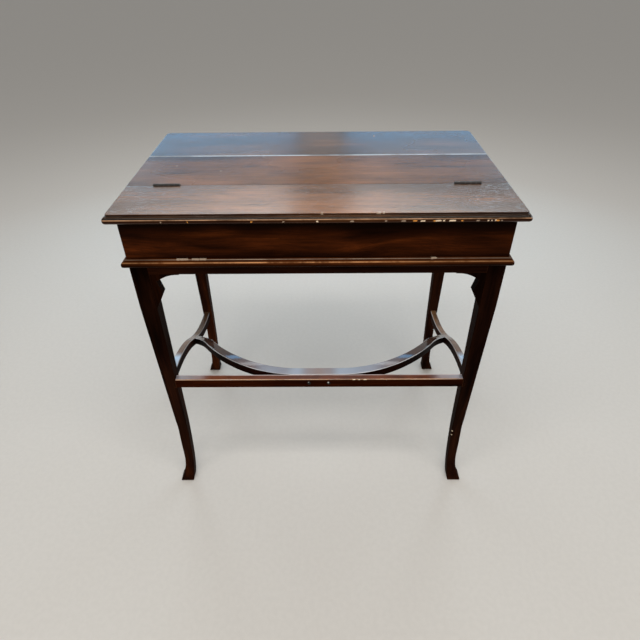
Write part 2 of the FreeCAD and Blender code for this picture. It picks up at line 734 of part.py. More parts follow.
# The rail is bolted to the middle of the bow, through its rear face
BOLT_PLACES = [(f"{n} * bolt_spacing", RAIL_FRONT, "rail_top - rail_height / 2") for n in (-0.5, 0.5)]
BOLT_TIP = "(rail_thick + bolt_bite)"
bolt = turned("bolt", [("0", "-bolt_dome"), ("bolt_head - bolt_dome", "-bolt_dome"),
                       ("bolt_head", "-bolt_dome / 3"), ("bolt_head", "0"), ("bolt_shank", "0"),
                       ("bolt_shank", BOLT_TIP), ("0", BOLT_TIP)])
bolt_bore = turned("bolt_bore", [("0", "0"), ("bolt_shank + screw_play", "0"),
                                 ("bolt_shank + screw_play", f"{BOLT_TIP} + screw_play"),
                                 ("0", f"{BOLT_TIP} + screw_play")])
keep("stretcher_bolts", scatter("stretcher_bolts", bolt, BOLT_PLACES, FORWARD))
bolt_bores = scatter("stretcher_bolt_bores", bolt_bore, BOLT_PLACES, FORWARD)

rail = keep("stretcher_rail", cut("stretcher_rail", straight_rail(), bolt_bores))
left_tenon, right_tenon = bow_tenon(-1), bow_tenon(1)
tenoned_bow = fuse("tenoned_bow", bow(), left_tenon, right_tenon)
keep("bow_stretcher", cut("bow_stretcher", tenoned_bow, bolt_bores))
left_blank, right_blank = side_stretcher("left_stretcher", -1), side_stretcher("right_stretcher", 1)
left_stretcher = keep("left_stretcher", cut("left_stretcher", left_blank, left_tenon))
keep("right_stretcher", cut("right_stretcher", right_blank, right_tenon))

# Aprons and their ears


def apron(name, length, thickness_along_y, start):
    """A rear or left apron between two legs, with a central tenon at each end."""
    shoulder = [length, "apron_thick", "apron_height"]
    tongue = [f"{length} + 2 * tenon_length", "tenon_thick", "tenon_height"]
    inset = ["-tenon_length", "(apron_thick - tenon_thick) / 2", "(apron_height - tenon_height) / 2"]
    if not thickness_along_y:
        for sizes in (shoulder, tongue, inset):
            sizes[0], sizes[1] = sizes[1], sizes[0]
    corner = [f"{start[i]} + {inset[i]}" for i in range(3)]
    return fuse(f"{name}_blank", box(f"{name}_rail", shoulder, start), box(f"{name}_tenons", tongue, corner))


rear_apron_blank = apron("rear_apron", f"(2 * ({SIDE} - leg_width))", True,
                         (f"leg_width - {SIDE}", f"-{BACK}", APRON_FOOT))
left_apron_blank = apron("left_apron", f"(2 * ({BACK} - leg_width))", False,
                         (f"-{SIDE}", f"leg_width - {BACK}", APRON_FOOT))
rear_apron = keep("rear_apron", cut("rear_apron", rear_apron_blank, apron_bores))
left_apron = keep("left_apron", cut("left_apron", left_apron_blank, apron_bores))
keep("front_apron", mirror("front_apron", rear_apron, FORE_AND_AFT))
keep("right_apron", mirror("right_apron", left_apron, ACROSS))


def ear(name, side):
    """A scrolled bracket in the corner under an apron: an arch, a notch and a pointed nose."""
    half, plane = (SIDE, "XZ_Plane") if side == "rear" else (BACK, "YZ_Plane")
    lift = f"{BACK} - apron_thick" if side == "rear" else f"-{SIDE}"
    arch, end = "(notch_reach + arch_run)", "(notch_reach + arch_run + ear_flat)"
    profile = [("0", "0"), ("0", "ear_drop"), ("tip_reach", "tip_drop", "tip_round"),
               ("notch_reach", "notch_drop"), (arch, "ear_edge", "arch_round"), (end, "ear_edge"), (end, "0")]
    corners = [(f"leg_width - {half} + {c[0]}", f"{APRON_FOOT} - {c[1]}") + tuple(c[2:]) for c in profile]
    body = new_body(name)
    pad(body, sketch_on(body, plane, [corners], lift), "apron_thick")
    return body


rear_ear = keep("rear_left_ear", ear("rear_left_ear", "rear"))
side_ear = keep("left_rear_ear", ear("left_rear_ear", "left"))
rear_right_ear = keep("rear_right_ear", mirror("rear_right_ear", rear_ear, ACROSS))
right_rear_ear = keep("right_rear_ear", mirror("right_rear_ear", side_ear, ACROSS))
keep("front_left_ear", mirror("front_left_ear", rear_ear, FORE_AND_AFT))
keep("front_right_ear", mirror("front_right_ear", rear_right_ear, FORE_AND_AFT))
keep("left_front_ear", mirror("left_front_ear", side_ear, FORE_AND_AFT))
keep("right_front_ear", mirror("right_front_ear", right_rear_ear, FORE_AND_AFT))

# Legs: square under the case, tapered to the shin, with a foot that sweeps out both ways


def leg_section(height, draw, width, kick):
    """A square of the rear left leg: its outer faces drawn in, then kicked out by a share of the toe."""
    corners = []
    for half, toe in ((SIDE, "toe_reach_side"), (BACK, "toe_reach_back")):
        outer = f"({draw} - {half} - {kick} * (ankle_draw + {toe}))"
        corners.append((outer, f"({outer} + {width})"))
    (left, right), (rear, front) = corners
    plan = [(left, rear, "leg_arris"), (right, rear, "leg_arris"), (right, front, "leg_arris"),
            (left, front, "leg_arris")]
    return [plan], height


def loft(body, stations, ruled):
    """Loft a body through sections, straight from one to the next or as one smooth run."""
    sketches = [sketch_on(body, "XY_Plane", *station) for station in stations]
    feature = body.newObject("PartDesign::AdditiveLoft", f"{body.Name}_loft")
    feature.Profile = sketches[0]
    feature.Sections = sketches[1:]
    feature.Ruled = ruled
    doc.recompute()
    return feature


def leg():
    """The rear left leg: a square top, a straight taper to the shin, and a smooth sweep out to the toe."""
    body = new_body("leg")
    knee = leg_section(SQUARE_FOOT, "0", "leg_width", "0")
    pad(body, sketch_on(body, "XY_Plane", *knee), f"{CASE_FOOT} - {SQUARE_FOOT}")
    shin = leg_section("shin_height", "shin_draw", "shin_width", "0")
    loft(body, [knee, shin], ruled=True)
    calf = leg_section("calf_height", "calf_draw", "calf_width", "0")
    ankle = leg_section("ankle_height", "ankle_draw", "ankle_width", "0")
    instep = leg_section("((ankle_height + glide_thick) / 2)", "ankle_draw",
                         "(ankle_width + foot_swell * (foot_width - ankle_width))", "foot_kick")
    sole = leg_section("glide_thick", "ankle_draw", "foot_width", "1")
    loft(body, [shin, calf, ankle, instep, sole], ruled=False)
    return body


leg_body = leg()
rear_leg = keep("rear_left_leg", cut("rear_left_leg", leg_body, rail, left_stretcher, rear_apron, left_apron))
keep("rear_right_leg", mirror("rear_right_leg", rear_leg, ACROSS))
front_leg = keep("front_left_leg", cut("front_left_leg", mirror("front_leg_blank", leg_body, FORE_AND_AFT),
                                       left_stretcher, pieces["front_apron"], left_apron))
keep("front_right_leg", mirror("front_right_leg", front_leg, ACROSS))

glide = doc.addObject("Part::Cylinder", "glide")
bind(glide, Radius="glide_radius", Height="glide_thick")
GLIDE_X = f"({SIDE} + toe_reach_side - foot_width / 2)"
GLIDE_Y = f"({BACK} + toe_reach_back - foot_width / 2)"
keep("foot_glides", scatter("foot_glides", glide, [(f"{sx} * {GLIDE_X}", f"{sy} * {GLIDE_Y}", "0")
                                                   for sx in (-1, 1) for sy in (-1, 1)], UPWARD))

# Check and write

doc.recompute()
failed = [thing.Label for thing in doc.Objects if {"Invalid", "Error"} & set(thing.State)]
failed += [label for label, piece in pieces.items() if piece.Shape.isNull() or not piece.Shape.isValid()]
if failed:
    raise RuntimeError(f"failed: {sorted(set(failed))}")
os.makedirs("parts", exist_ok=True)
for label, piece in pieces.items():
    piece.Shape.exportStep(f"parts/{label}.step")
print(f"{len(pieces)} pieces, {sum(len(piece.Shape.Solids) for piece in pieces.values())} solids")
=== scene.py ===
"""Dresses the campaign desk: stained mahogany under lacquer, blackened hinges and soft studio light.

Every CAD piece keeps its shape and place. Each class below is one sub-assembly of the desk, one finish
or one kind of wear, and main() dresses them in order. Lengths are in metres, in the desk's own frame:
X along the desk, +Y towards the sitter, Z up.
"""
from __future__ import annotations

import logging
import math
from dataclasses import dataclass, replace
from enum import Enum
from typing import Protocol

import bpy
from mathutils import Euler, Matrix, Vector

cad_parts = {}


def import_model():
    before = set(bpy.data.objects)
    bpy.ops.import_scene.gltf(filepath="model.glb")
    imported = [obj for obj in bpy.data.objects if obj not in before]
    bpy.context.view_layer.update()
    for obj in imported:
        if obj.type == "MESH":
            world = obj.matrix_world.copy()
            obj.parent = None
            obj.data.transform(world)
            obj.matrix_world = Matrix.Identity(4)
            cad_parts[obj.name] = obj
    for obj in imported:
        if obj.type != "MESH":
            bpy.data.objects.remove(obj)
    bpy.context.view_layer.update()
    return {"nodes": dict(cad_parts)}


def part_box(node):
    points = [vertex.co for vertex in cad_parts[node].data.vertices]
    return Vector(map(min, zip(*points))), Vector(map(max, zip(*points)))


log = logging.getLogger("campaign_desk")

Triple = tuple[float, float, float]
Spot = tuple[float, float]
Spots = tuple[Spot, ...]
Socket = bpy.types.NodeSocket
Nodes = dict[str, bpy.types.Object]

# The places of the Mix node's sockets for colours
MIX_SHARE, MIX_FIRST, MIX_SECOND = 0, 6, 7
MIX_RESULT = 2

# Waves per metre of the wood's figure, along the grain and across it both ways
WANDER_WAVES: Triple = (2.2, 7.0, 7.0)
FIBRE_WAVES: Triple = (9.0, 420.0, 420.0)
PORE_WAVES: Triple = (55.0, 1100.0, 1100.0)
CLOUD_WAVES: Triple = (3.0, 6.5, 6.5)
WEAR_WAVES: Triple = (14.0, 30.0, 30.0)
WANDER_REACH = 0.05

# How level a face is where it starts to count as level, and where it fully does
LEVEL: Spot = (0.8, 0.98)

# The lacquer
ARRIS_REACH = 0.0022
RELIEF_DEPTH = 0.0002
POLISH_ROUGHNESS = 0.09
GRIME_TINT: Triple = (0.32, 0.28, 0.25)
BEVEL_SAMPLES = 4

# Metal and plastic
MOTTLE_WAVES = 260.0
MOTTLE_DEPTH = 0.0001
MOTTLE_DULLNESS = 0.2
RIM_REACH = 0.0006
UPWARD_RANGE = 0.09

# The ragged outline of chips
RAGGED_WAVES = 520.0
SWAY_WAVES = 90.0
TEAR = 0.006

# The wandering bounds of the stain's tones
DRIFT_WAVES: Triple = (5.0, 5.0, 12.0)


class Grain(Enum):
    """The way a piece's grain runs, with the turn that lays it along X."""

    ALONG = (0.0, 0.0, 0.0)
    ACROSS = (0.0, 0.0, -math.pi / 2)
    UPRIGHT = (0.0, math.pi / 2, 0.0)


class Axis(Enum):
    """The desk's axes, by their place in a vector."""

    LENGTH = 0
    DEPTH = 1
    HEIGHT = 2


SIDES = {"rear": Grain.ALONG, "front": Grain.ALONG, "left": Grain.ACROSS, "right": Grain.ACROSS}


class Graph:
    """A material's node tree, with short ways to add the nodes that the finishes share."""

    def __init__(self, name: str) -> None:
        """Make an empty material.

        Args:
            name: The material's name.
        """
        self.material = bpy.data.materials.new(name)
        self.material.use_nodes = True
        self.tree = self.material.node_tree
        self.tree.nodes.clear()
        self.output = self.tree.nodes.new("ShaderNodeOutputMaterial")
        self.coordinates = self.node("ShaderNodeTexCoord", {})
        self.place = self.coordinates.outputs["Object"]

    def put(self, socket: Socket, value: object) -> None:
        """Link a socket to another, or set it to a plain value.

        Args:
            socket: The input to fill.
            value: An output socket, a number or a colour.
        """
        if isinstance(value, Socket):
            self.tree.links.new(value, socket)
        elif isinstance(value, tuple) and socket.type == "RGBA":
            socket.default_value = (*value, 1.0)
        else:
            socket.default_value = value

    def node(self, kind: str, inputs: dict[str | int, object], **settings: object) -> bpy.types.Node:
        """Add a node.

        Args:
            kind: The node's Blender type.
            inputs: What goes into its sockets, by name or place.
            settings: Values for the node's own properties.

        Returns:
            The new node.
        """
        node = self.tree.nodes.new(kind)
        for key, value in settings.items():
            setattr(node, key, value)
        for key, value in inputs.items():
            self.put(node.inputs[key], value)
        return node

    def math(self, operation: str, *values: object) -> Socket:
        """The result of a Math node with these inputs."""
        return self.node("ShaderNodeMath", dict(enumerate(values)), operation=operation).outputs[0]

    def span(self, value: object, low: float, high: float, start: float = 0.0, end: float = 1.0,
             linear: bool = False) -> Socket:
        """A number eased from one range to another.

        Args:
            value: The number to map.
            low: Where the input range starts.
            high: Where the input range ends.
            start: The result at low.
            end: The result at high.
            linear: Whether it runs straight instead of easing.

        Returns:
            The output socket.
        """
        inputs = {"Value": value, "From Min": low, "From Max": high, "To Min": start, "To Max": end}
        way = "LINEAR" if linear else "SMOOTHSTEP"
        return self.node("ShaderNodeMapRange", inputs, interpolation_type=way).outputs["Result"]

    def mix(self, share: object, first: object, second: object, blend: str = "MIX") -> Socket:
        """A blend of two colours.

        Args:
            share: How much of the second colour shows.
            first: The colour underneath.
            second: The colour on top.
            blend: The way they blend.

        Returns:
            The output socket.
        """
        inputs = {MIX_SHARE: share, MIX_FIRST: first, MIX_SECOND: second}
        node = self.node("ShaderNodeMix", inputs, data_type="RGBA", blend_type=blend)
        return node.outputs[MIX_RESULT]

    def noise(self, place: Socket, stretch: Triple, detail: float = 3.0, rough: float = 0.55) -> Socket:
        """Noise with its own frequency along each axis.

        Args:
            place: The coordinates.
            stretch: Waves per metre along X, Y and Z.
            detail: Octaves.
            rough: The strength of the finer octaves.

        Returns:
            The noise as a number around 0.5.
        """
        scaled = self.node("ShaderNodeMapping", {"Vector": place, "Scale": stretch}).outputs[0]
        inputs = {"Vector": scaled, "Scale": 1.0, "Detail": detail, "Roughness": rough}
        return self.node("ShaderNodeTexNoise", inputs).outputs["Fac"]

    def mottle(self, waves: float, detail: float = 3.0, rough: float = 0.55) -> Socket:
        """Noise that is alike along all three axes."""
        return self.noise(self.place, (waves, waves, waves), detail, rough)

    def ramp(self, value: Socket, stops: Spots) -> Socket:
        """A number read off a curve.

        Args:
            value: Where to read.
            stops: The curve's places in rising order, each with its level.

        Returns:
            The output socket.
        """
        low, high = stops[0][0], stops[-1][0]
        node = self.node("ShaderNodeValToRGB", {0: self.span(value, low, high, linear=True)})
        node.color_ramp.interpolation = "EASE"
        points = node.color_ramp.elements
        for place, level in stops[1:-1]:
            points.new((place - low) / (high - low)).color = (level, level, level, 1.0)
        for point, (_, level) in ((points[0], stops[0]), (points[-1], stops[-1])):
            point.color = (level, level, level, 1.0)
        return node.outputs["Color"]

    def axes(self, vector: Socket) -> list[Socket]:
        """A vector's X, Y and Z."""
        return list(self.node("ShaderNodeSeparateXYZ", {"Vector": vector}).outputs)

    def up(self) -> Socket:
        """How far the surface looks up when the desk is closed, from -1 to 1."""
        return self.axes(self.coordinates.outputs["Normal"])[2]

    def arris(self, radius: float) -> Socket:
        """How much the surface bends near a point: 0 on flat faces, rising on arrises.

        Args:
            radius: How far from the arris it reaches.

        Returns:
            The output socket.
        """
        rounded = self.node("ShaderNodeBevel", {"Radius": radius}, samples=BEVEL_SAMPLES).outputs[0]
        flat = self.node("ShaderNodeNewGeometry", {}).outputs["Normal"]
        dot = self.node("ShaderNodeVectorMath", {0: rounded, 1: flat}, operation="DOT_PRODUCT")
        return self.math("SUBTRACT", 1.0, dot.outputs["Value"])

    def finish(self, **inputs: object) -> bpy.types.Material:
        """Close the graph with a Principled shader.

        Args:
            inputs: Values or links for its sockets, with spaces written as underscores.

        Returns:
            The finished material.
        """
        named = {key.replace("_", " "): value for key, value in inputs.items()}
        shader = self.node("ShaderNodeBsdfPrincipled", named)
        self.tree.links.new(shader.outputs[0], self.output.inputs[0])
        return self.material


class Mark(Protocol):
    """A trace of use on one piece."""

    def lay(self, graph: Graph, colour: Socket) -> Socket:
        """Lay the mark over a colour."""


Marks = tuple[Mark, ...]


@dataclass(frozen=True)
class Chips:
    """Spots along an arris where the finish has broken away.

    Attributes:
        height: The arris's height.
        reach: How far the spots spread up and down.
        bare: The colour of the wood that shows.
        spots: Each spot's place along the desk and its width.
        rear: The spots lie to the rear of this Y.
    """

    height: float
    reach: float
    bare: Triple
    spots: Spots
    rear: float = 0.0

    def lay(self, graph: Graph, colour: Socket) -> Socket:
        """Lay the chips over a colour.

        Args:
            graph: The material's graph.
            colour: The colour so far.

        Returns:
            The colour with the chips.
        """
        x, y, z = graph.axes(graph.place)
        ragged = graph.mottle(RAGGED_WAVES, detail=2.0)
        sway = graph.mottle(SWAY_WAVES, detail=1.0)
        torn = graph.math("MULTIPLY_ADD", ragged, TEAR, x)
        level = graph.math("MULTIPLY_ADD", sway, self.reach, z)
        level = graph.math("MULTIPLY_ADD", ragged, self.reach, level)
        middle = self.height + self.reach
        band = graph.math("COMPARE", level, middle, self.reach * 0.75)
        band = graph.math("MULTIPLY", band, graph.math("LESS_THAN", y, self.rear))
        found: object = 0.0
        for place, width in self.spots:
            found = graph.math("MAXIMUM", found, graph.math("COMPARE", torn, place + TEAR / 2, width / 2))
        return graph.mix(graph.math("MULTIPLY", band, found), colour, self.bare)


@dataclass(frozen=True)
class LightAndTone:
    """A tone that changes along one axis of a piece: stain on some pieces, painted light and shade on
    others.

    Attributes:
        axis: The axis along which the tone changes.
        stops: Places along that axis, each with the tone's level.
        waver: How far the bounds wander.
        spares_top: Whether upward faces are left as they are.
    """

    axis: Axis
    stops: Spots
    waver: float = 0.0
    spares_top: bool = False

    def lay(self, graph: Graph, colour: Socket) -> Socket:
        """Lay the tone over a colour.

        Args:
            graph: The material's graph.
            colour: The colour so far.

        Returns:
            The toned colour.
        """
        drift = graph.noise(graph.place, DRIFT_WAVES, detail=2.0)
        place = graph.math("MULTIPLY_ADD", graph.math("SUBTRACT", drift, 0.5), self.waver,
                           graph.axes(graph.place)[self.axis.value])
        level = graph.ramp(place, self.stops)
        if self.spares_top:
            level = graph.mix(graph.span(graph.up(), 0.8, 0.95), level, (1.0, 1.0, 1.0))
        return graph.mix(1.0, colour, level, "MULTIPLY")


@dataclass(frozen=True)
class WornHighlightLine:
    """A level pale line along a moulding: a painted highlight, partly rubbed wear.

    Attributes:
        height: The line's height.
        reach: How far it fades up and down.
        colour: The colour where the line is strongest.
        least: How strong it is where it is weakest.
        inner: Half the length and breadth of the middle of the desk, where the line is left out.
    """

    height: float
    reach: float
    colour: Triple
    least: float = 0.35
    inner: Spot = (0.0, 0.0)

    def lay(self, graph: Graph, colour: Socket) -> Socket:
        """Lay the line over a colour.

        Args:
            graph: The material's graph.
            colour: The colour so far.

        Returns:
            The colour with the line.
        """
        x, y, z = graph.axes(graph.place)
        apart = graph.math("ABSOLUTE", graph.math("SUBTRACT", z, self.height))
        line = graph.span(apart, 0.3 * self.reach, self.reach, 1.0, 0.0)
        end = graph.math("GREATER_THAN", graph.math("ABSOLUTE", x), self.inner[0])
        side = graph.math("GREATER_THAN", graph.math("ABSOLUTE", y), self.inner[1])
        line = graph.math("MULTIPLY", line, graph.math("MAXIMUM", end, side))
        broken = graph.mottle(16.0, detail=5.0, rough=0.7)
        strength = graph.math("MULTIPLY", line, graph.span(broken, 0.35, 0.60, self.least, 1.0))
        return graph.mix(strength, colour, self.colour)


@dataclass(frozen=True)
class RimHighlight:
    """A painted highlight along the outer rim of the top's ends.

    Attributes:
        half: Half the top's length.
        foot: Where the rim starts in height.
        reach: Its width.
        colour: Its colour.
    """

    half: float
    foot: float
    reach: float
    colour: Triple

    def lay(self, graph: Graph, colour: Socket) -> Socket:
        """Lay the rim over a colour.

        Args:
            graph: The material's graph.
            colour: The colour so far.

        Returns:
            The colour with the rim.
        """
        x, _, z = graph.axes(graph.place)
        apart = graph.math("ABSOLUTE", x)
        outer = graph.span(apart, self.half - self.reach, self.half - 0.6 * self.reach)
        mask = graph.math("MULTIPLY", outer, graph.math("GREATER_THAN", z, self.foot))
        wear_and_light = graph.span(graph.mottle(18.0, detail=4.0), 0.40, 0.62, 0.0, 0.9)
        return graph.mix(graph.math("MULTIPLY", mask, wear_and_light), colour, self.colour)


@dataclass(frozen=True)
class PaintedSheen:
    """A painted sheen on a rail's upward faces, standing in for the reflection of light from behind.

    Attributes:
        axis: The axis along which it comes and goes. Length counts both ways from the middle.
        stops: Places along that axis, each with the bloom's strength.
        colour: Its colour.
    """

    axis: Axis
    stops: Spots
    colour: Triple = (0.34, 0.39, 0.46)

    def lay(self, graph: Graph, colour: Socket) -> Socket:
        """Lay the painted sheen over a colour.

        Args:
            graph: The material's graph.
            colour: The colour so far.

        Returns:
            The colour with the bloom.
        """
        place = graph.axes(graph.place)[self.axis.value]
        if self.axis is Axis.LENGTH:
            place = graph.math("ABSOLUTE", place)
        up = graph.span(graph.up(), 0.62, 0.9)
        cloud = graph.span(graph.mottle(12.0, detail=1.0), 0.30, 0.60, 0.6, 1.0)
        strength = graph.math("MULTIPLY", up, cloud)
        strength = graph.math("MULTIPLY", strength, graph.ramp(place, self.stops))
        return graph.mix(strength, colour, self.colour)


@dataclass(frozen=True)
class WornArrisHighlight:
    """A painted highlight, partly pale wear, on the rounded upper arrises of a rail.

    Attributes:
        colour: The colour where the highlight is strongest.
        least: How strong it is where it is weakest.
    """

    colour: Triple
    least: float = 0.3

    def lay(self, graph: Graph, colour: Socket) -> Socket:
        """Lay the painted highlight and wear over a colour.

        Args:
            graph: The material's graph.
            colour: The colour so far.

        Returns:
            The colour with the highlight and wear.
        """
        up = graph.up()
        edge = graph.math("MULTIPLY", graph.span(up, 0.20, 0.45), graph.span(up, 0.78, 0.88, 1.0, 0.0))
        broken = graph.mottle(9.0, detail=2.0)
        strength = graph.math("MULTIPLY", edge, graph.span(broken, 0.36, 0.58, self.least, 1.0))
        return graph.mix(strength, colour, self.colour)


@dataclass(frozen=True)
class JointHighlight:
    """A painted highlight line along a joint, also used along an arris.

    Attributes:
        joint: The joint's place in Y.
        reach: How far the line spreads.
        colour: Its colour.
    """

    joint: float
    reach: float
    colour: Triple

    def lay(self, graph: Graph, colour: Socket) -> Socket:
        """Lay the line over a colour.

        Args:
            graph: The material's graph.
            colour: The colour so far.

        Returns:
            The colour with the line.
        """
        near = graph.math("COMPARE", graph.axes(graph.place)[1], self.joint, self.reach)
        near = graph.math("MULTIPLY", near, graph.span(graph.up(), 0.15, 0.5))
        patchy = graph.span(graph.mottle(22.0, detail=3.0), 0.25, 0.6, 0.45, 1.0)
        return graph.mix(graph.math("MULTIPLY", near, patchy), colour, self.colour)


@dataclass(frozen=True)
class Specks:
    """Small flakes and dust spots on a flat face.

    Attributes:
        colour: Their colour.
        spots: Each spot's place in X and Y.
        radius: Their size.
    """

    colour: Triple
    spots: Spots
    radius: float = 0.0011

    def lay(self, graph: Graph, colour: Socket) -> Socket:
        """Lay the specks over a colour.

        Args:
            graph: The material's graph.
            colour: The colour so far.

        Returns:
            The colour with the specks.
        """
        x, y, _ = graph.axes(graph.place)
        plan = graph.node("ShaderNodeCombineXYZ", {"X": x, "Y": y}).outputs[0]
        ragged = graph.mottle(900.0, detail=1.0)
        found: object = 0.0
        for place in self.spots:
            apart = graph.node("ShaderNodeVectorMath", {0: plan, 1: (*place, 0.0)}, operation="DISTANCE")
            reach = graph.math("MULTIPLY", apart.outputs["Value"], graph.math("ADD", ragged, 0.5))
            found = graph.math("MAXIMUM", found, graph.math("LESS_THAN", reach, self.radius))
        found = graph.math("MULTIPLY", found, graph.span(graph.up(), 0.5, 0.9))
        return graph.mix(found, colour, self.colour)


@dataclass(frozen=True)
class LacqueredWood:
    """Mahogany with a dark toned stain under a lacquer.

    Attributes:
        name: What the finish is called.
        ground: The darkest stain.
        body: The main colour.
        streak: The colour of the bright ribbons.
        rubbed: The colour of arrises rubbed thin.
        painted_top_light: A lighter colour painted on upward faces in patches, standing in for the light
            that falls on them from above, if any.
        flank_shade: How dark the faces that aren't level are painted, as painted shade.
        ribbon: Figure waves per metre along and across the grain.
        cloud_low: How dark the stain's patches are.
        fleck: How much the fibres differ in tone.
        relief: How strongly the fibres and pores stand out.
        roughness: The lacquer's roughness where it is most polished.
        dullness: How much rougher its dull patches are.
        specular: The lacquer's reflection level.
        tint: The colour of what it reflects straight on.
        flank_tint: That colour on the faces that aren't level.
        rubbing: How far the arrises are rubbed, from 0 to 1.
        polish: The weight of a polish coat on the faces and arrises that look up.
        grime: The heights between which grime dulls the lacquer, if any lies there.
        easing: How softly the lacquer rounds the arrises.
    """

    name: str
    ground: Triple
    body: Triple
    streak: Triple
    rubbed: Triple
    painted_top_light: Triple | None = None
    flank_shade: float = 1.0
    ribbon: Spot = (2.4, 30.0)
    cloud_low: float = 0.55
    fleck: float = 0.3
    relief: float = 0.3
    roughness: float = 0.3
    dullness: float = 0.15
    specular: float = 0.2
    tint: Triple = (1.0, 0.45, 0.25)
    flank_tint: Triple = (1.0, 0.40, 0.18)
    rubbing: float = 0.8
    polish: float = 0.0
    grime: Spot | None = None
    easing: float = 0.0012

    def dress(self, node: str, grain: Grain, shift: Triple, marks: Marks = ()) -> bpy.types.Material:
        """Make this finish for one piece.

        Args:
            node: The piece's name.
            grain: The way its grain runs.
            shift: Where in the log it was cut, so that no two pieces match.
            marks: Traces of use on the piece.

        Returns:
            The material.
        """
        graph = Graph(f"{self.name}_{node}")
        mapping = {"Vector": graph.place, "Location": shift, "Rotation": grain.value}
        sawn = graph.node("ShaderNodeMapping", mapping).outputs[0]
        wander = graph.noise(sawn, WANDER_WAVES, detail=2.0)
        drift = graph.math("MULTIPLY", wander, WANDER_REACH)
        warped = graph.node("ShaderNodeVectorMath", {0: sawn, 1: drift}, operation="ADD").outputs[0]

        along, across = self.ribbon
        figure = graph.noise(warped, (along, across, across), detail=5.0, rough=0.6)
        fibre = graph.noise(warped, FIBRE_WAVES, detail=3.0)
        pore = graph.span(graph.noise(warped, PORE_WAVES, detail=1.0), 0.60, 0.70)
        cloud = graph.noise(sawn, CLOUD_WAVES, detail=2.0)

        colour = graph.mix(graph.span(figure, 0.30, 0.54), self.ground, self.body)
        colour = graph.mix(graph.span(figure, 0.50, 0.74), colour, self.streak)
        shade = graph.math("MULTIPLY", graph.span(cloud, 0.30, 0.70, self.cloud_low, 1.20),
                           graph.span(fibre, 0.25, 0.75, 1.0 - self.fleck, 1.0 + self.fleck))
        colour = graph.mix(1.0, colour, shade, "MULTIPLY")
        colour = graph.mix(graph.math("MULTIPLY", pore, 0.5), colour, self.ground)

        # Wear patches; the same pattern breaks up the painted light on upward faces.
        wear_and_light = graph.noise(sawn, WEAR_WAVES, detail=4.0, rough=0.65)
        up = graph.up()
        level = graph.math("ABSOLUTE", up)
        # Painted shade: faces that aren't level are darkened.
        colour = graph.mix(1.0, colour, graph.span(level, *LEVEL, self.flank_shade, 1.0), "MULTIPLY")
        # Painted light: upward faces take a lighter colour, in patches, where light from above falls on
        # them.
        if self.painted_top_light:
            top_lit = graph.math("MULTIPLY", graph.span(up, 0.55, 0.92),
                               graph.span(wear_and_light, 0.30, 0.62, 0.35, 1.0))
            colour = graph.mix(top_lit, colour, self.painted_top_light)
        edge = graph.span(graph.arris(ARRIS_REACH), 0.03, 0.22)
        thin = graph.math("MULTIPLY", edge, graph.span(wear_and_light, 0.36, 0.62, 0.0, self.rubbing))
        colour = graph.mix(thin, colour, self.rubbed)
        for mark in marks:
            colour = mark.lay(graph, colour)

        rough = graph.span(cloud, 0.30, 0.70, self.roughness, self.roughness + self.dullness)
        relief = graph.math("MULTIPLY_ADD", fibre, 0.5, graph.math("MULTIPLY", pore, -1.0))
        eased = graph.node("ShaderNodeBevel", {"Radius": self.easing}, samples=BEVEL_SAMPLES).outputs[0]
        inputs = {"Strength": self.relief, "Distance": RELIEF_DEPTH, "Height": relief, "Normal": eased}
        bump = graph.node("ShaderNodeBump", inputs)
        coat: dict[str, object] = {}
        if self.polish:
            coat = {"Coat_Weight": graph.span(up, 0.04, 0.30, 0.0, self.polish),
                    "Coat_Roughness": POLISH_ROUGHNESS}
        tint = graph.mix(graph.span(level, *LEVEL), self.flank_tint, self.tint)
        if self.grime:
            low, high = self.grime
            lies = graph.math("COMPARE", graph.axes(graph.place)[2], (low + high) / 2, (high - low) / 2)
            tint = graph.mix(lies, tint, GRIME_TINT)
        return graph.finish(Base_Color=colour, Roughness=rough, Specular_IOR_Level=self.specular,
                            Specular_Tint=tint, Normal=bump.outputs[0], **coat)


@dataclass(frozen=True)
class MottledFinish:
    """A mottled metal or plastic finish.

    Attributes:
        name: What the finish is called.
        colour: The main colour.
        mottle: The colour of its patches.
        bright: The colour of rubbed edges and of dust on upward faces; on the bolts, of a painted
            highlight on upward faces.
        metallic: Whether it is bare metal, 0 or 1.
        roughness: Its roughness where smooth.
        rubbing: How far its edges are rubbed, from 0 to 1.
        upward_from: How level a face is where dust starts on it, from 0 to 1; on the bolts, where the
            painted highlight starts.
        specular: Its reflection level.
    """

    name: str
    colour: Triple
    mottle: Triple
    bright: Triple
    metallic: float
    roughness: float
    rubbing: float = 1.0
    upward_from: float = 0.90
    specular: float = 0.5

    def dress(self) -> bpy.types.Material:
        """Make the material.

        Returns:
            The material.
        """
        graph = Graph(self.name)
        patch = graph.mottle(MOTTLE_WAVES, detail=4.0)
        colour = graph.mix(graph.span(patch, 0.40, 0.64), self.colour, self.mottle)
        rim = graph.math("MULTIPLY", graph.span(graph.arris(RIM_REACH), 0.05, 0.3),
                         graph.span(patch, 0.3, 0.6, 0.0, self.rubbing))
        colour = graph.mix(rim, colour, self.bright)
        # Dust on upward faces; on the bolts this is a painted highlight instead.
        dust = graph.math("MULTIPLY", graph.span(graph.up(), self.upward_from, self.upward_from + UPWARD_RANGE),
                          graph.span(patch, 0.52, 0.64, 0.0, 0.8))
        colour = graph.mix(dust, colour, self.bright)
        rough = graph.span(patch, 0.3, 0.7, self.roughness, self.roughness + MOTTLE_DULLNESS)
        bump = graph.node("ShaderNodeBump", {"Strength": 0.2, "Distance": MOTTLE_DEPTH, "Height": patch})
        return graph.finish(Base_Color=colour, Roughness=rough, Metallic=self.metallic,
                            Specular_IOR_Level=self.specular, Normal=bump.outputs[0])
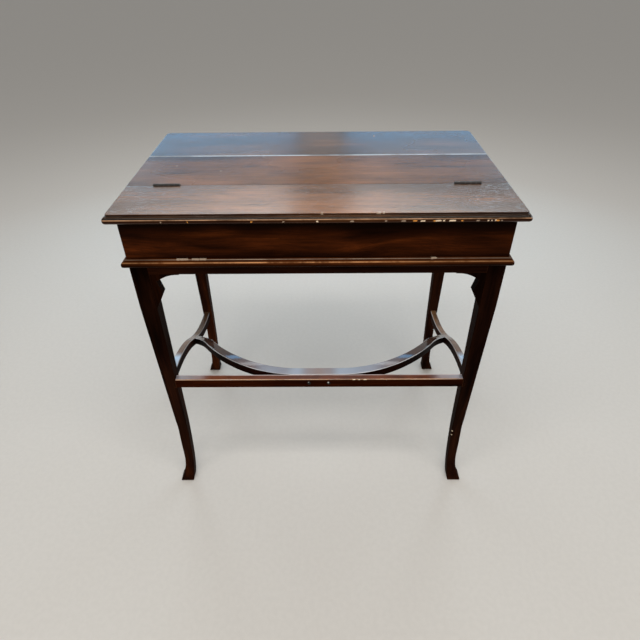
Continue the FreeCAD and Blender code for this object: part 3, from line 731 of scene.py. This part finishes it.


# The top's finishes paint the faces that aren't level much darker, as painted shade on the nosing and
# step.
TOP_FINISH = LacqueredWood(
    "top_lacquer", ground=(0.055, 0.022, 0.010), body=(0.138, 0.057, 0.022), streak=(0.225, 0.090, 0.032),
    rubbed=(0.34, 0.28, 0.25), flank_shade=0.16, ribbon=(5.0, 26.0), roughness=0.21, dullness=0.09,
    specular=0.5, tint=(1.0, 0.95, 0.9), flank_tint=(0.3, 0.06, 0.01), rubbing=0.55,
    grime=(0.7514, 0.7574))
STRIP_FINISH = replace(TOP_FINISH, name="strip_lacquer", roughness=0.16, dullness=0.07, specular=0.7)
MIDDLE_FINISH = replace(
    TOP_FINISH, name="lid_lacquer", ground=(0.057, 0.023, 0.010), body=(0.142, 0.058, 0.021),
    streak=(0.215, 0.087, 0.030), cloud_low=0.7, specular=0.2)
# A darker copy of the top's finish for the lid's front board, as painted shade.
SHADED_TOP = replace(
    TOP_FINISH, name="shaded_top_lacquer", ground=(0.020, 0.009, 0.006), body=(0.060, 0.028, 0.015),
    streak=(0.135, 0.060, 0.028))
CASE_FINISH = LacqueredWood(
    "case_lacquer", ground=(0.008, 0.0017, 0.0005), body=(0.057, 0.0122, 0.0026),
    streak=(0.178, 0.039, 0.0072), rubbed=(0.10, 0.030, 0.008), ribbon=(3.4, 28.0), cloud_low=0.3,
    specular=0.05, rubbing=0.4)
MOULDING_FINISH = replace(
    CASE_FINISH, name="moulding_lacquer", ground=(0.012, 0.003, 0.0009), body=(0.055, 0.013, 0.0026),
    streak=(0.11, 0.028, 0.005), roughness=0.2, dullness=0.1, specular=0.04)
LEG_FINISH = LacqueredWood(
    "leg_lacquer", ground=(0.003, 0.0011, 0.0007), body=(0.011, 0.0034, 0.0016),
    streak=(0.034, 0.0085, 0.0024), rubbed=(0.06, 0.021, 0.008), roughness=0.42, specular=0.006)
# The stretchers' finishes paint their upward faces lighter, as painted light.
STRETCHER_FINISH = replace(
    LEG_FINISH, name="stretcher_lacquer", ground=(0.003, 0.0006, 0.0002), body=(0.014, 0.0024, 0.0004),
    streak=(0.034, 0.006, 0.0008), painted_top_light=(0.165, 0.066, 0.029), specular=0.01, rubbing=0.0, polish=1.0)
RAIL_FINISH = replace(STRETCHER_FINISH, name="rail_lacquer", painted_top_light=(0.165, 0.042, 0.012), polish=0.55)
SIDE_FINISH = replace(
    STRETCHER_FINISH, name="side_stretcher_lacquer", painted_top_light=(0.23, 0.122, 0.060), polish=0.8)
INNER_FINISH = LacqueredWood(
    "oiled_wood", ground=(0.16, 0.070, 0.030), body=(0.26, 0.125, 0.058), streak=(0.36, 0.19, 0.095),
    rubbed=(0.34, 0.18, 0.09), roughness=0.5, specular=0.3)
IRON = MottledFinish(
    "blackened_iron", colour=(0.005, 0.004, 0.004), mottle=(0.012, 0.010, 0.009),
    bright=(0.26, 0.24, 0.22), metallic=0.0, roughness=0.5)
# The bolts' pale colour on upward faces is a painted highlight on the tops of their domed heads.
BOLT_IRON = replace(
    IRON, name="bolt_iron", bright=(0.62, 0.60, 0.56), rubbing=0.0, upward_from=0.42, specular=0.1)
STEEL = MottledFinish(
    "dull_steel", colour=(0.42, 0.40, 0.37), mottle=(0.28, 0.26, 0.23), bright=(0.60, 0.58, 0.55),
    metallic=1.0, roughness=0.38)
NYLON = MottledFinish(
    "glide_nylon", colour=(0.58, 0.54, 0.47), mottle=(0.46, 0.42, 0.36), bright=(0.64, 0.61, 0.55),
    metallic=0.0, roughness=0.5)

PALE_WOOD: Triple = (0.72, 0.58, 0.42)
ORANGE_WOOD: Triple = (0.60, 0.25, 0.05)
GREY_WOOD: Triple = (0.30, 0.23, 0.17)


@dataclass
class Assembly:
    """A group of CAD pieces that are dressed together.

    Attributes:
        nodes: All the desk's CAD objects, by name.
    """

    nodes: Nodes

    def paint(self, name: str, material: bpy.types.Material) -> None:
        """Give a CAD piece its material.

        Args:
            name: The piece's name.
            material: The material.
        """
        for slot in self.nodes[name].material_slots:
            slot.material = material
        log.info("%s: %s", name, material.name)

    def dress(self) -> None:
        """Paint the group's pieces."""
        raise NotImplementedError


@dataclass
class WoodAssembly(Assembly):
    """A group of wooden pieces.

    Attributes:
        log_step: How far apart in the log neighbouring pieces were cut.
        log_way: The way from one cut to the next.
        cut: How many pieces have been cut so far.
    """

    log_step: float = 0.37
    log_way: Triple = (1.0, 2.3, 0.7)
    cut: int = 0

    def plank(self, name: str, finish: LacqueredWood, grain: Grain, marks: Marks = ()) -> None:
        """Paint a piece in its own cut of the wood.

        Args:
            name: The piece's name.
            finish: Its finish.
            grain: The way its grain runs.
            marks: Traces of use on it.
        """
        self.cut += 1
        step = self.log_step * self.cut
        shift = tuple(step * part for part in self.log_way)
        self.paint(name, finish.dress(name, grain, shift, marks))


@dataclass
class WritingTop(WoodAssembly):
    """The fixed strip and the lid's two boards.

    Attributes:
        nosing_height: Where the chips lie on the nosing.
        nosing_reach: How far they spread up and down.
        nosing_depth: How far in from the rear edge they reach.
        nick_drop: How far below the field the nicks lie.
        nick_reach: How far they spread up and down.
        nick_depth: How much further in than the chips they reach.
        joint_highlight_reach: How far the painted highlight spreads along the lid's open joint.
        joint_highlight_colour: The colour of that painted highlight.
        highlight_height: Where a painted highlight line, partly rubbed wear, runs along the nosing.
        highlight_reach: How far that line fades up and down.
        highlight_least: How strong it is where it is weakest.
        highlight_colour: Its colour.
        rim_width: How far in from the top's edge its nosing carries that line.
        rim_highlight_reach: The width of the painted highlight along the rim of the ends.
        rim_highlight_colour: Its colour.
        orange_chips: Chips down to the stain along the rear nosing.
        pale_chips: Chips down to pale wood along the rear nosing.
        grey_chips: Dull chips along the rear nosing.
        grey_nicks: Nicks along the step above the nosing.
        strip_specks: Flakes on the fixed strip.
        middle_specks: Flakes on the lid's middle board.
        front_specks: Flakes on the lid's front board.
        breadth: The stain's tone from left to right.
        ledge_shade: Painted shade from the nosing up: darker at the nosing's foot and on the step below
            the field.
        strip_light: Painted light on the fixed strip: lighter towards its rear edge, darker towards the
            hinges.
        middle_shade: Painted shade on the middle board: darker towards the open joint.
    """

    nosing_height: float = 0.7472
    nosing_reach: float = 0.0019
    nosing_depth: float = 0.004
    nick_drop: float = 0.0012
    nick_reach: float = 0.0016
    nick_depth: float = 0.008
    joint_highlight_reach: float = 0.0022
    joint_highlight_colour: Triple = (0.50, 0.60, 0.70)
    highlight_height: float = 0.7511
    highlight_reach: float = 0.0011
    highlight_least: float = 0.25
    highlight_colour: Triple = (0.43, 0.25, 0.145)
    rim_width: float = 0.008
    rim_highlight_reach: float = 0.0045
    rim_highlight_colour: Triple = (0.26, 0.27, 0.28)
    orange_chips: Spots = (
        (0.1705, 0.006), (0.2045, 0.004), (0.252, 0.003), (0.313, 0.0055), (-0.1125, 0.0035),
        (-0.2235, 0.002))
    pale_chips: Spots = (
        (0.1843, 0.008), (0.211, 0.010), (0.2205, 0.003), (0.2355, 0.011), (0.297, 0.0025),
        (0.303, 0.002), (0.309, 0.002), (0.002, 0.0035))
    grey_chips: Spots = (
        (0.062, 0.006), (0.1205, 0.003), (0.151, 0.008), (0.279, 0.005), (0.320, 0.002),
        (-0.057, 0.003), (-0.270, 0.002))
    grey_nicks: Spots = ((0.108, 0.007), (0.117, 0.003), (0.010, 0.004))
    strip_specks: Specks = Specks(GREY_WOOD, ((0.0454, -0.1323), (0.2912, -0.1726)))
    middle_specks: Specks = Specks(PALE_WOOD, ((-0.2936, 0.0038), (-0.1966, -0.0264)))
    front_specks: Specks = Specks(ORANGE_WOOD, ((0.1332, 0.1913), (0.1336, 0.1945), (0.1328, 0.1880)))
    breadth: LightAndTone = LightAndTone(
        Axis.LENGTH, waver=0.1,
        stops=((-0.38, 0.7), (-0.20, 0.9), (-0.06, 1.25), (0.08, 1.25), (0.20, 0.9), (0.38, 0.7)))
    ledge_shade: LightAndTone = LightAndTone(
        Axis.HEIGHT,
        stops=((0.740, 0.5), (0.7475, 0.8), (0.7495, 1.0), (0.7512, 1.0), (0.7520, 0.35), (0.7566, 0.4),
               (0.7578, 1.0), (0.762, 1.0)))
    strip_light: LightAndTone = LightAndTone(Axis.DEPTH, stops=((-0.235, 1.2), (-0.17, 1.0), (-0.10, 0.75)))
    middle_shade: LightAndTone = LightAndTone(Axis.DEPTH, stops=((-0.10, 1.0), (0.017, 1.0), (0.062, 0.55)))

    def dress(self) -> None:
        """Paint the three boards with their wear, painted light and painted shade."""
        low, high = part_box("rear_top_board")
        inner = (high.x - self.rim_width, -low.y - self.rim_width)
        # Besides the stain's tone, these marks paint shade on the step, a highlight line along the nosing
        # and a highlight on the rim of the ends.
        wear_and_light: Marks = (
            self.breadth, self.ledge_shade,
            WornHighlightLine(self.highlight_height, self.highlight_reach, self.highlight_colour, self.highlight_least,
                       inner),
            RimHighlight(high.x, self.highlight_height, self.rim_highlight_reach, self.rim_highlight_colour))
        rear = low.y + self.nosing_depth
        woods = ((ORANGE_WOOD, self.orange_chips), (PALE_WOOD, self.pale_chips),
                 (GREY_WOOD, self.grey_chips))
        chips = tuple(Chips(self.nosing_height, self.nosing_reach, bare, spots, rear)
                      for bare, spots in woods)
        nicks = Chips(high.z - self.nick_drop, self.nick_reach, GREY_WOOD, self.grey_nicks,
                      rear + self.nick_depth)
        # A painted highlight along the lid's open joint.
        joint_highlight = JointHighlight(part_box("lid_front_board")[0].y, self.joint_highlight_reach, self.joint_highlight_colour)
        # The fixed strip is painted lighter towards its rear edge and the middle board darker towards the
        # open joint, as painted light and shade.
        self.plank("rear_top_board", STRIP_FINISH, Grain.ALONG,
                   (self.strip_light, *wear_and_light, *chips, nicks, self.strip_specks))
        self.plank("lid_middle_board", MIDDLE_FINISH, Grain.ALONG,
                   (self.middle_shade, *wear_and_light, self.middle_specks))
        self.plank("lid_front_board", SHADED_TOP, Grain.ALONG, (*wear_and_light, joint_highlight, self.front_specks))


@dataclass
class DeskCase(WoodAssembly):
    """The case's walls, base moulding and inner parts.

    Attributes:
        wall_shade: Painted shade on the walls: darker at their foot, darkest under the top's overhang, as
            its painted shadow.
        breadth: The rear wall's tone from left to right.
        bead_shade: Painted shade on the moulding: darker at its foot, under the bead.
        bead_highlight: The painted highlight line along the moulding's bead, partly rubbed wear.
        lip_highlight: The painted highlight line along its lip, partly rubbed wear.
        bead_breadth: The rear moulding's tone from left to right.
        splinters: Splintered lengths of the rear moulding's lip.
    """

    wall_shade: LightAndTone = LightAndTone(
        Axis.HEIGHT, waver=0.02, spares_top=True,
        stops=((0.660, 0.22), (0.666, 0.25), (0.673, 0.6), (0.682, 1.1), (0.693, 1.25), (0.706, 1.0),
               (0.716, 0.5), (0.725, 0.15), (0.733, 0.035), (0.742, 0.02)))
    breadth: LightAndTone = LightAndTone(
        Axis.LENGTH, waver=0.08,
        stops=((-0.34, 0.8), (-0.15, 1.1), (0.01, 1.3), (0.09, 0.7), (0.22, 0.6), (0.34, 0.5)))
    bead_shade: LightAndTone = LightAndTone(
        Axis.HEIGHT, stops=((0.648, 0.25), (0.6535, 0.3), (0.6575, 1.0), (0.668, 1.0)))
    bead_highlight: WornHighlightLine = WornHighlightLine(height=0.6595, reach=0.0013, colour=(0.40, 0.19, 0.08), least=0.12)
    lip_highlight: WornHighlightLine = WornHighlightLine(height=0.6636, reach=0.0011, colour=(0.27, 0.21, 0.16), least=0.4)
    bead_breadth: LightAndTone = LightAndTone(
        Axis.LENGTH, waver=0.05,
        stops=((-0.35, 0.45), (-0.24, 0.75), (-0.06, 1.3), (0.10, 1.0), (0.20, 0.6), (0.35, 0.5)))
    splinters: Chips = Chips(
        height=0.6640, reach=0.0022, bare=GREY_WOOD,
        spots=((-0.250, 0.022), (-0.226, 0.014), (-0.212, 0.012), (0.216, 0.010)))

    def dress(self) -> None:
        """Paint the case."""
        for side, grain in SIDES.items():
            # The walls carry painted shade; the rear wall also carries a stain tone from left to right.
            tone: Marks = (self.wall_shade,)
            # The mouldings carry painted shade under the bead and painted highlight lines along bead and
            # lip, with wear.
            wear_and_light: Marks = (self.bead_shade, self.bead_highlight, self.lip_highlight)
            if side == "rear":
                tone += (self.breadth,)
                wear_and_light += (self.bead_breadth, self.splinters)
            self.plank(f"{side}_wall", CASE_FINISH, grain, tone)
            self.plank(f"{side}_moulding", MOULDING_FINISH, grain, wear_and_light)
        for name in ("case_bottom", "hinge_rail"):
            self.plank(name, INNER_FINISH, Grain.ALONG)
        for name in ("left_batten", "right_batten"):
            self.plank(name, INNER_FINISH, Grain.ACROSS)


@dataclass
class LegFrame(WoodAssembly):
    """The legs, aprons and ear brackets.

    Attributes:
        tone: Painted light and shade on the legs: lighter on their lower half, darker up under the case.
        ear_shade: Painted shade on the ears, under the case.
        leg_chips: Chips on the inner arris of the rear right leg.
    """

    tone: LightAndTone = LightAndTone(
        Axis.HEIGHT, waver=0.04,
        stops=((0.0, 1.5), (0.10, 1.9), (0.25, 1.9), (0.36, 1.4), (0.45, 1.0), (0.58, 0.9), (0.65, 0.45)))
    ear_shade: LightAndTone = LightAndTone(Axis.HEIGHT, stops=((0.50, 0.5), (0.66, 0.4)))
    leg_chips: Marks = (
        Chips(height=0.168, reach=0.0016, bare=PALE_WOOD, spots=((0.326, 0.0036),), rear=-0.2035),
        Chips(height=0.1545, reach=0.0014, bare=PALE_WOOD, spots=((0.326, 0.003),), rear=-0.2035))

    def dress(self) -> None:
        """Paint the leg frame."""
        for side, grain in SIDES.items():
            self.plank(f"{side}_apron", LEG_FINISH, grain)
        for end in ("rear", "front"):
            for hand in ("left", "right"):
                # The legs' tone is painted light and shade.
                marks: Marks = (self.tone,)
                if (end, hand) == ("rear", "right"):
                    marks += self.leg_chips
                self.plank(f"{end}_{hand}_leg", LEG_FINISH, Grain.UPRIGHT, marks)
                for ear in (f"{end}_{hand}_ear", f"{hand}_{end}_ear"):
                    self.plank(ear, LEG_FINISH, Grain.UPRIGHT, (self.ear_shade,))


@dataclass
class Stretchers(WoodAssembly):
    """The rail, the bow and the side stretchers.

    Attributes:
        back_highlight_inset: How far in from the rail's inner face the painted highlight on its upper
            arris lies.
        back_highlight_reach: How far that highlight spreads.
        back_highlight_colour: Its colour.
        highlight_line_drop: How far below the rail's top the painted highlight line along its arris lies,
            partly rubbed wear.
        highlight_line_reach: How far that line fades up and down.
        highlight_line_least: How strong it is where it is weakest.
        highlight_line_colour: Its colour.
        chip_drop: How far below the rail's top the chips lie.
        chip_reach: How far they spread up and down.
        chip_depth: How far in from the rail's rear face they reach.
        rail_chips: Chips along the rail's upper rear arris.
        rail_arris: The painted highlight and wear along the rail's upper arrises.
        bow_arris: The painted highlight and wear along the bow's upper arrises.
        side_arris: The painted highlight and wear along the side stretchers' upper arrises.
        rail_sheen: The painted sheen along the rail.
        bow_tone: The bow's tone from left to right.
        left_tone: The left stretcher's tone from rear to front.
        bow_warm_sheen: The warm painted sheen on the middle of the bow.
        bow_sheen: The painted sheen along the bow.
        side_sheen: The painted sheen along the side stretchers.
    """

    back_highlight_inset: float = 0.0012
    back_highlight_reach: float = 0.0022
    back_highlight_colour: Triple = (0.52, 0.44, 0.43)
    highlight_line_drop: float = 0.0012
    highlight_line_reach: float = 0.0009
    highlight_line_least: float = 0.1
    highlight_line_colour: Triple = (0.46, 0.25, 0.12)
    chip_drop: float = 0.0018
    chip_reach: float = 0.0012
    chip_depth: float = 0.003
    rail_chips: Spots = ((0.079, 0.007), (0.091, 0.003), (0.104, 0.006))
    rail_arris: WornArrisHighlight = WornArrisHighlight((0.40, 0.30, 0.24), least=0.1)
    bow_arris: WornArrisHighlight = WornArrisHighlight((0.74, 0.77, 0.82), least=0.45)
    side_arris: WornArrisHighlight = WornArrisHighlight((0.50, 0.45, 0.43))
    rail_sheen: PaintedSheen = PaintedSheen(Axis.LENGTH, stops=((0.0, 0.1), (0.24, 0.05), (0.28, 0.4), (0.33, 0.8)))
    bow_tone: LightAndTone = LightAndTone(
        Axis.LENGTH,
        stops=((-0.33, 0.3), (-0.22, 0.5), (-0.15, 0.85), (0.15, 0.85), (0.22, 0.5), (0.33, 0.3)))
    left_tone: LightAndTone = LightAndTone(
        Axis.DEPTH, stops=((-0.20, 1.0), (-0.03, 1.0), (0.08, 0.45), (0.20, 0.35)))
    bow_warm_sheen: PaintedSheen = PaintedSheen(
        Axis.LENGTH, colour=(0.36, 0.31, 0.31), stops=((0.0, 0.9), (0.02, 0.8), (0.06, 0.1), (0.10, 0.0)))
    bow_sheen: PaintedSheen = PaintedSheen(
        Axis.LENGTH, colour=(0.42, 0.50, 0.62),
        stops=((0.0, 0.0), (0.02, 0.2), (0.05, 0.9), (0.11, 0.75), (0.17, 0.3), (0.22, 0.05),
               (0.33, 0.0)))
    side_sheen: PaintedSheen = PaintedSheen(
        Axis.DEPTH, colour=(0.60, 0.72, 0.86),
        stops=((-0.20, 1.0), (-0.130, 1.0), (-0.102, 0.1), (0.20, 0.0)))

    def dress(self) -> None:
        """Paint the stretchers."""
        low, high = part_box("stretcher_rail")
        self.plank("stretcher_rail", RAIL_FINISH, Grain.ALONG, (
            self.rail_sheen,
            # A painted highlight along the rail's upper inner arris.
            JointHighlight(high.y - self.back_highlight_inset, self.back_highlight_reach, self.back_highlight_colour),
            self.rail_arris,
            # A painted highlight line along the rail's upper arris, partly rubbed wear.
            WornHighlightLine(high.z - self.highlight_line_drop, self.highlight_line_reach, self.highlight_line_colour, self.highlight_line_least),
            Chips(high.z - self.chip_drop, self.chip_reach, PALE_WOOD, self.rail_chips,
                  low.y + self.chip_depth)))
        self.plank("bow_stretcher", STRETCHER_FINISH, Grain.ALONG,
                   (self.bow_tone, self.bow_warm_sheen, self.bow_sheen, self.bow_arris))
        wear_and_light: Marks = (self.side_sheen, self.side_arris)
        self.plank("left_stretcher", SIDE_FINISH, Grain.ACROSS, (*wear_and_light, self.left_tone))
        self.plank("right_stretcher", SIDE_FINISH, Grain.ACROSS, wear_and_light)


@dataclass
class Fittings(Assembly):
    """The hinges, screws, bolts and glides."""

    def dress(self) -> None:
        """Paint the metal and plastic fittings."""
        iron, steel, nylon = IRON.dress(), STEEL.dress(), NYLON.dress()
        for side in ("left", "right"):
            for part in ("fixed_leaf", "lid_leaf", "pin"):
                self.paint(f"{side}_hinge_{part}", iron)
        self.paint("stretcher_bolts", BOLT_IRON.dress())
        for name in ("apron", "strip", "batten", "hinge_fixed", "hinge_lid"):
            self.paint(f"{name}_screws", steel)
        self.paint("foot_glides", nylon)


@dataclass(frozen=True)
class Panel:
    """A soft light panel that faces the desk.

    Attributes:
        name: Its name.
        place: Its centre.
        size: Its width and height.
        power: Its power in watts.
        colour: The colour of its light.
    """

    name: str
    place: Triple
    size: Spot
    power: float
    colour: Triple = (1.0, 1.0, 1.0)

    def hang(self, target: Vector) -> None:
        """Add the light.

        Args:
            target: The point that it faces.
        """
        light = bpy.data.lights.new(self.name, "AREA")
        light.shape = "RECTANGLE"
        light.size, light.size_y = self.size
        light.energy = self.power
        light.color = self.colour
        lamp = bpy.data.objects.new(self.name, light)
        lamp.location = self.place
        lamp.rotation_euler = (target - lamp.location).to_track_quat("-Z", "Y").to_euler()
        lamp.visible_camera = False
        bpy.context.scene.collection.objects.link(lamp)


@dataclass
class Studio:
    """The floor, the light and the camera.

    Attributes:
        floor_size: The side of the floor.
        floor_colour: Its colour.
        floor_fleck: The tone of its flecks.
        floor_waves: How many of them there are in a metre.
        floor_roughness: Its roughness.
        floor_specular: Its reflection level.
        sky_colour: The colour of the light from all round.
        sky_level: The strength of that light.
        target: The point that the panels face.
        panels: The soft panels.
        eye: The camera's place.
        pitch: How far the camera looks down, in degrees.
        yaw: Its turn to the left, in degrees.
        roll: Its turn about its own axis, in degrees.
        lens: Its focal length in millimetres.
        frame_width: The width of its frame in millimetres.
    """

    floor_size: float = 40.0
    floor_colour: Triple = (0.60, 0.58, 0.55)
    floor_fleck: float = 0.97
    floor_waves: float = 90.0
    floor_roughness: float = 0.8
    floor_specular: float = 0.2
    sky_colour: Triple = (1.0, 0.985, 0.96)
    sky_level: float = 0.42
    target: Triple = (0.0, 0.0, 0.55)
    panels: tuple[Panel, ...] = (
        Panel("left_low_panel", (-0.57, 1.55, 1.14), (0.94, 0.15), 1.5, (0.17, 0.55, 1.0)),
        Panel("right_low_panel", (0.57, 1.55, 1.14), (0.94, 0.15), 1.5, (0.17, 0.55, 1.0)),
        Panel("middle_low_panel", (0.0, 1.55, 1.14), (0.18, 0.15), 0.07, (0.9, 0.9, 1.0)),
        Panel("left_high_panel", (-0.63, 1.60, 2.13), (1.14, 1.05), 10.6, (0.93, 0.98, 1.0)),
        Panel("right_high_panel", (0.63, 1.60, 2.13), (1.14, 1.05), 10.6, (0.93, 0.98, 1.0)),
        Panel("left_side_panel", (-1.15, 1.55, 0.95), (0.50, 0.30), 1.9, (0.55, 0.85, 1.0)),
        Panel("right_side_panel", (1.15, 1.55, 0.95), (0.50, 0.30), 1.9, (0.55, 0.85, 1.0)),
        Panel("overhead_strip", (0.0, -1.0, 3.0), (3.0, 0.5), 34.0, (1.0, 0.97, 0.93)),
        Panel("room_lamp", (0.0, -2.6, 1.9), (1.8, 0.7), 34.0, (1.0, 0.93, 0.84)),
    )
    eye: Triple = (0.0135, -1.0305, 1.1406)
    pitch: float = 37.28
    yaw: float = 0.65
    roll: float = -0.68
    lens: float = 28.4
    frame_width: float = 36.0

    def floor(self) -> None:
        """Lay the floor."""
        bpy.ops.object.select_all(action="DESELECT")
        bpy.ops.mesh.primitive_plane_add(size=self.floor_size, location=(0.0, 0.0, 0.0))
        floor = bpy.context.object
        floor.name = "floor"
        graph = Graph("pale_floor")
        fleck = tuple(self.floor_fleck * part for part in self.floor_colour)
        spread = graph.span(graph.mottle(self.floor_waves, detail=2.0), 0.3, 0.7)
        colour = graph.mix(spread, self.floor_colour, fleck)
        floor.data.materials.append(graph.finish(
            Base_Color=colour, Roughness=self.floor_roughness, Specular_IOR_Level=self.floor_specular))

    def light(self) -> None:
        """Light the room evenly and hang the panels."""
        world = bpy.data.worlds.new("studio")
        world.use_nodes = True
        background = world.node_tree.nodes["Background"]
        background.inputs["Color"].default_value = (*self.sky_colour, 1.0)
        background.inputs["Strength"].default_value = self.sky_level
        bpy.context.scene.world = world
        for panel in self.panels:
            panel.hang(Vector(self.target))

    def camera(self) -> None:
        """Set the camera at the photograph's angle."""
        data = bpy.data.cameras.new("camera")
        data.sensor_width = self.frame_width
        data.lens = self.lens
        camera = bpy.data.objects.new("camera", data)
        turn = Euler((math.radians(90.0 - self.pitch), 0.0, math.radians(self.yaw)), "XYZ")
        look = turn.to_matrix().to_4x4()
        tilt = Matrix.Rotation(math.radians(self.roll), 4, "Z")
        camera.matrix_world = Matrix.Translation(self.eye) @ look @ tilt
        bpy.context.scene.collection.objects.link(camera)
        bpy.context.scene.camera = camera

    def build(self) -> None:
        """Make the whole studio."""
        bpy.context.scene.view_settings.view_transform = "Standard"
        self.floor()
        self.light()
        self.camera()


def main() -> None:
    """Load the desk, dress it and light it."""
    logging.basicConfig(level=logging.INFO, format="%(name)s: %(message)s")
    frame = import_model()
    nodes: Nodes = frame["nodes"]
    cut = 0
    for group in (WritingTop, DeskCase, LegFrame, Stretchers):
        wood = group(nodes, cut=cut)
        wood.dress()
        cut = wood.cut
    Fittings(nodes).dress()
    Studio().build()


if __name__ == "__main__":
    main()
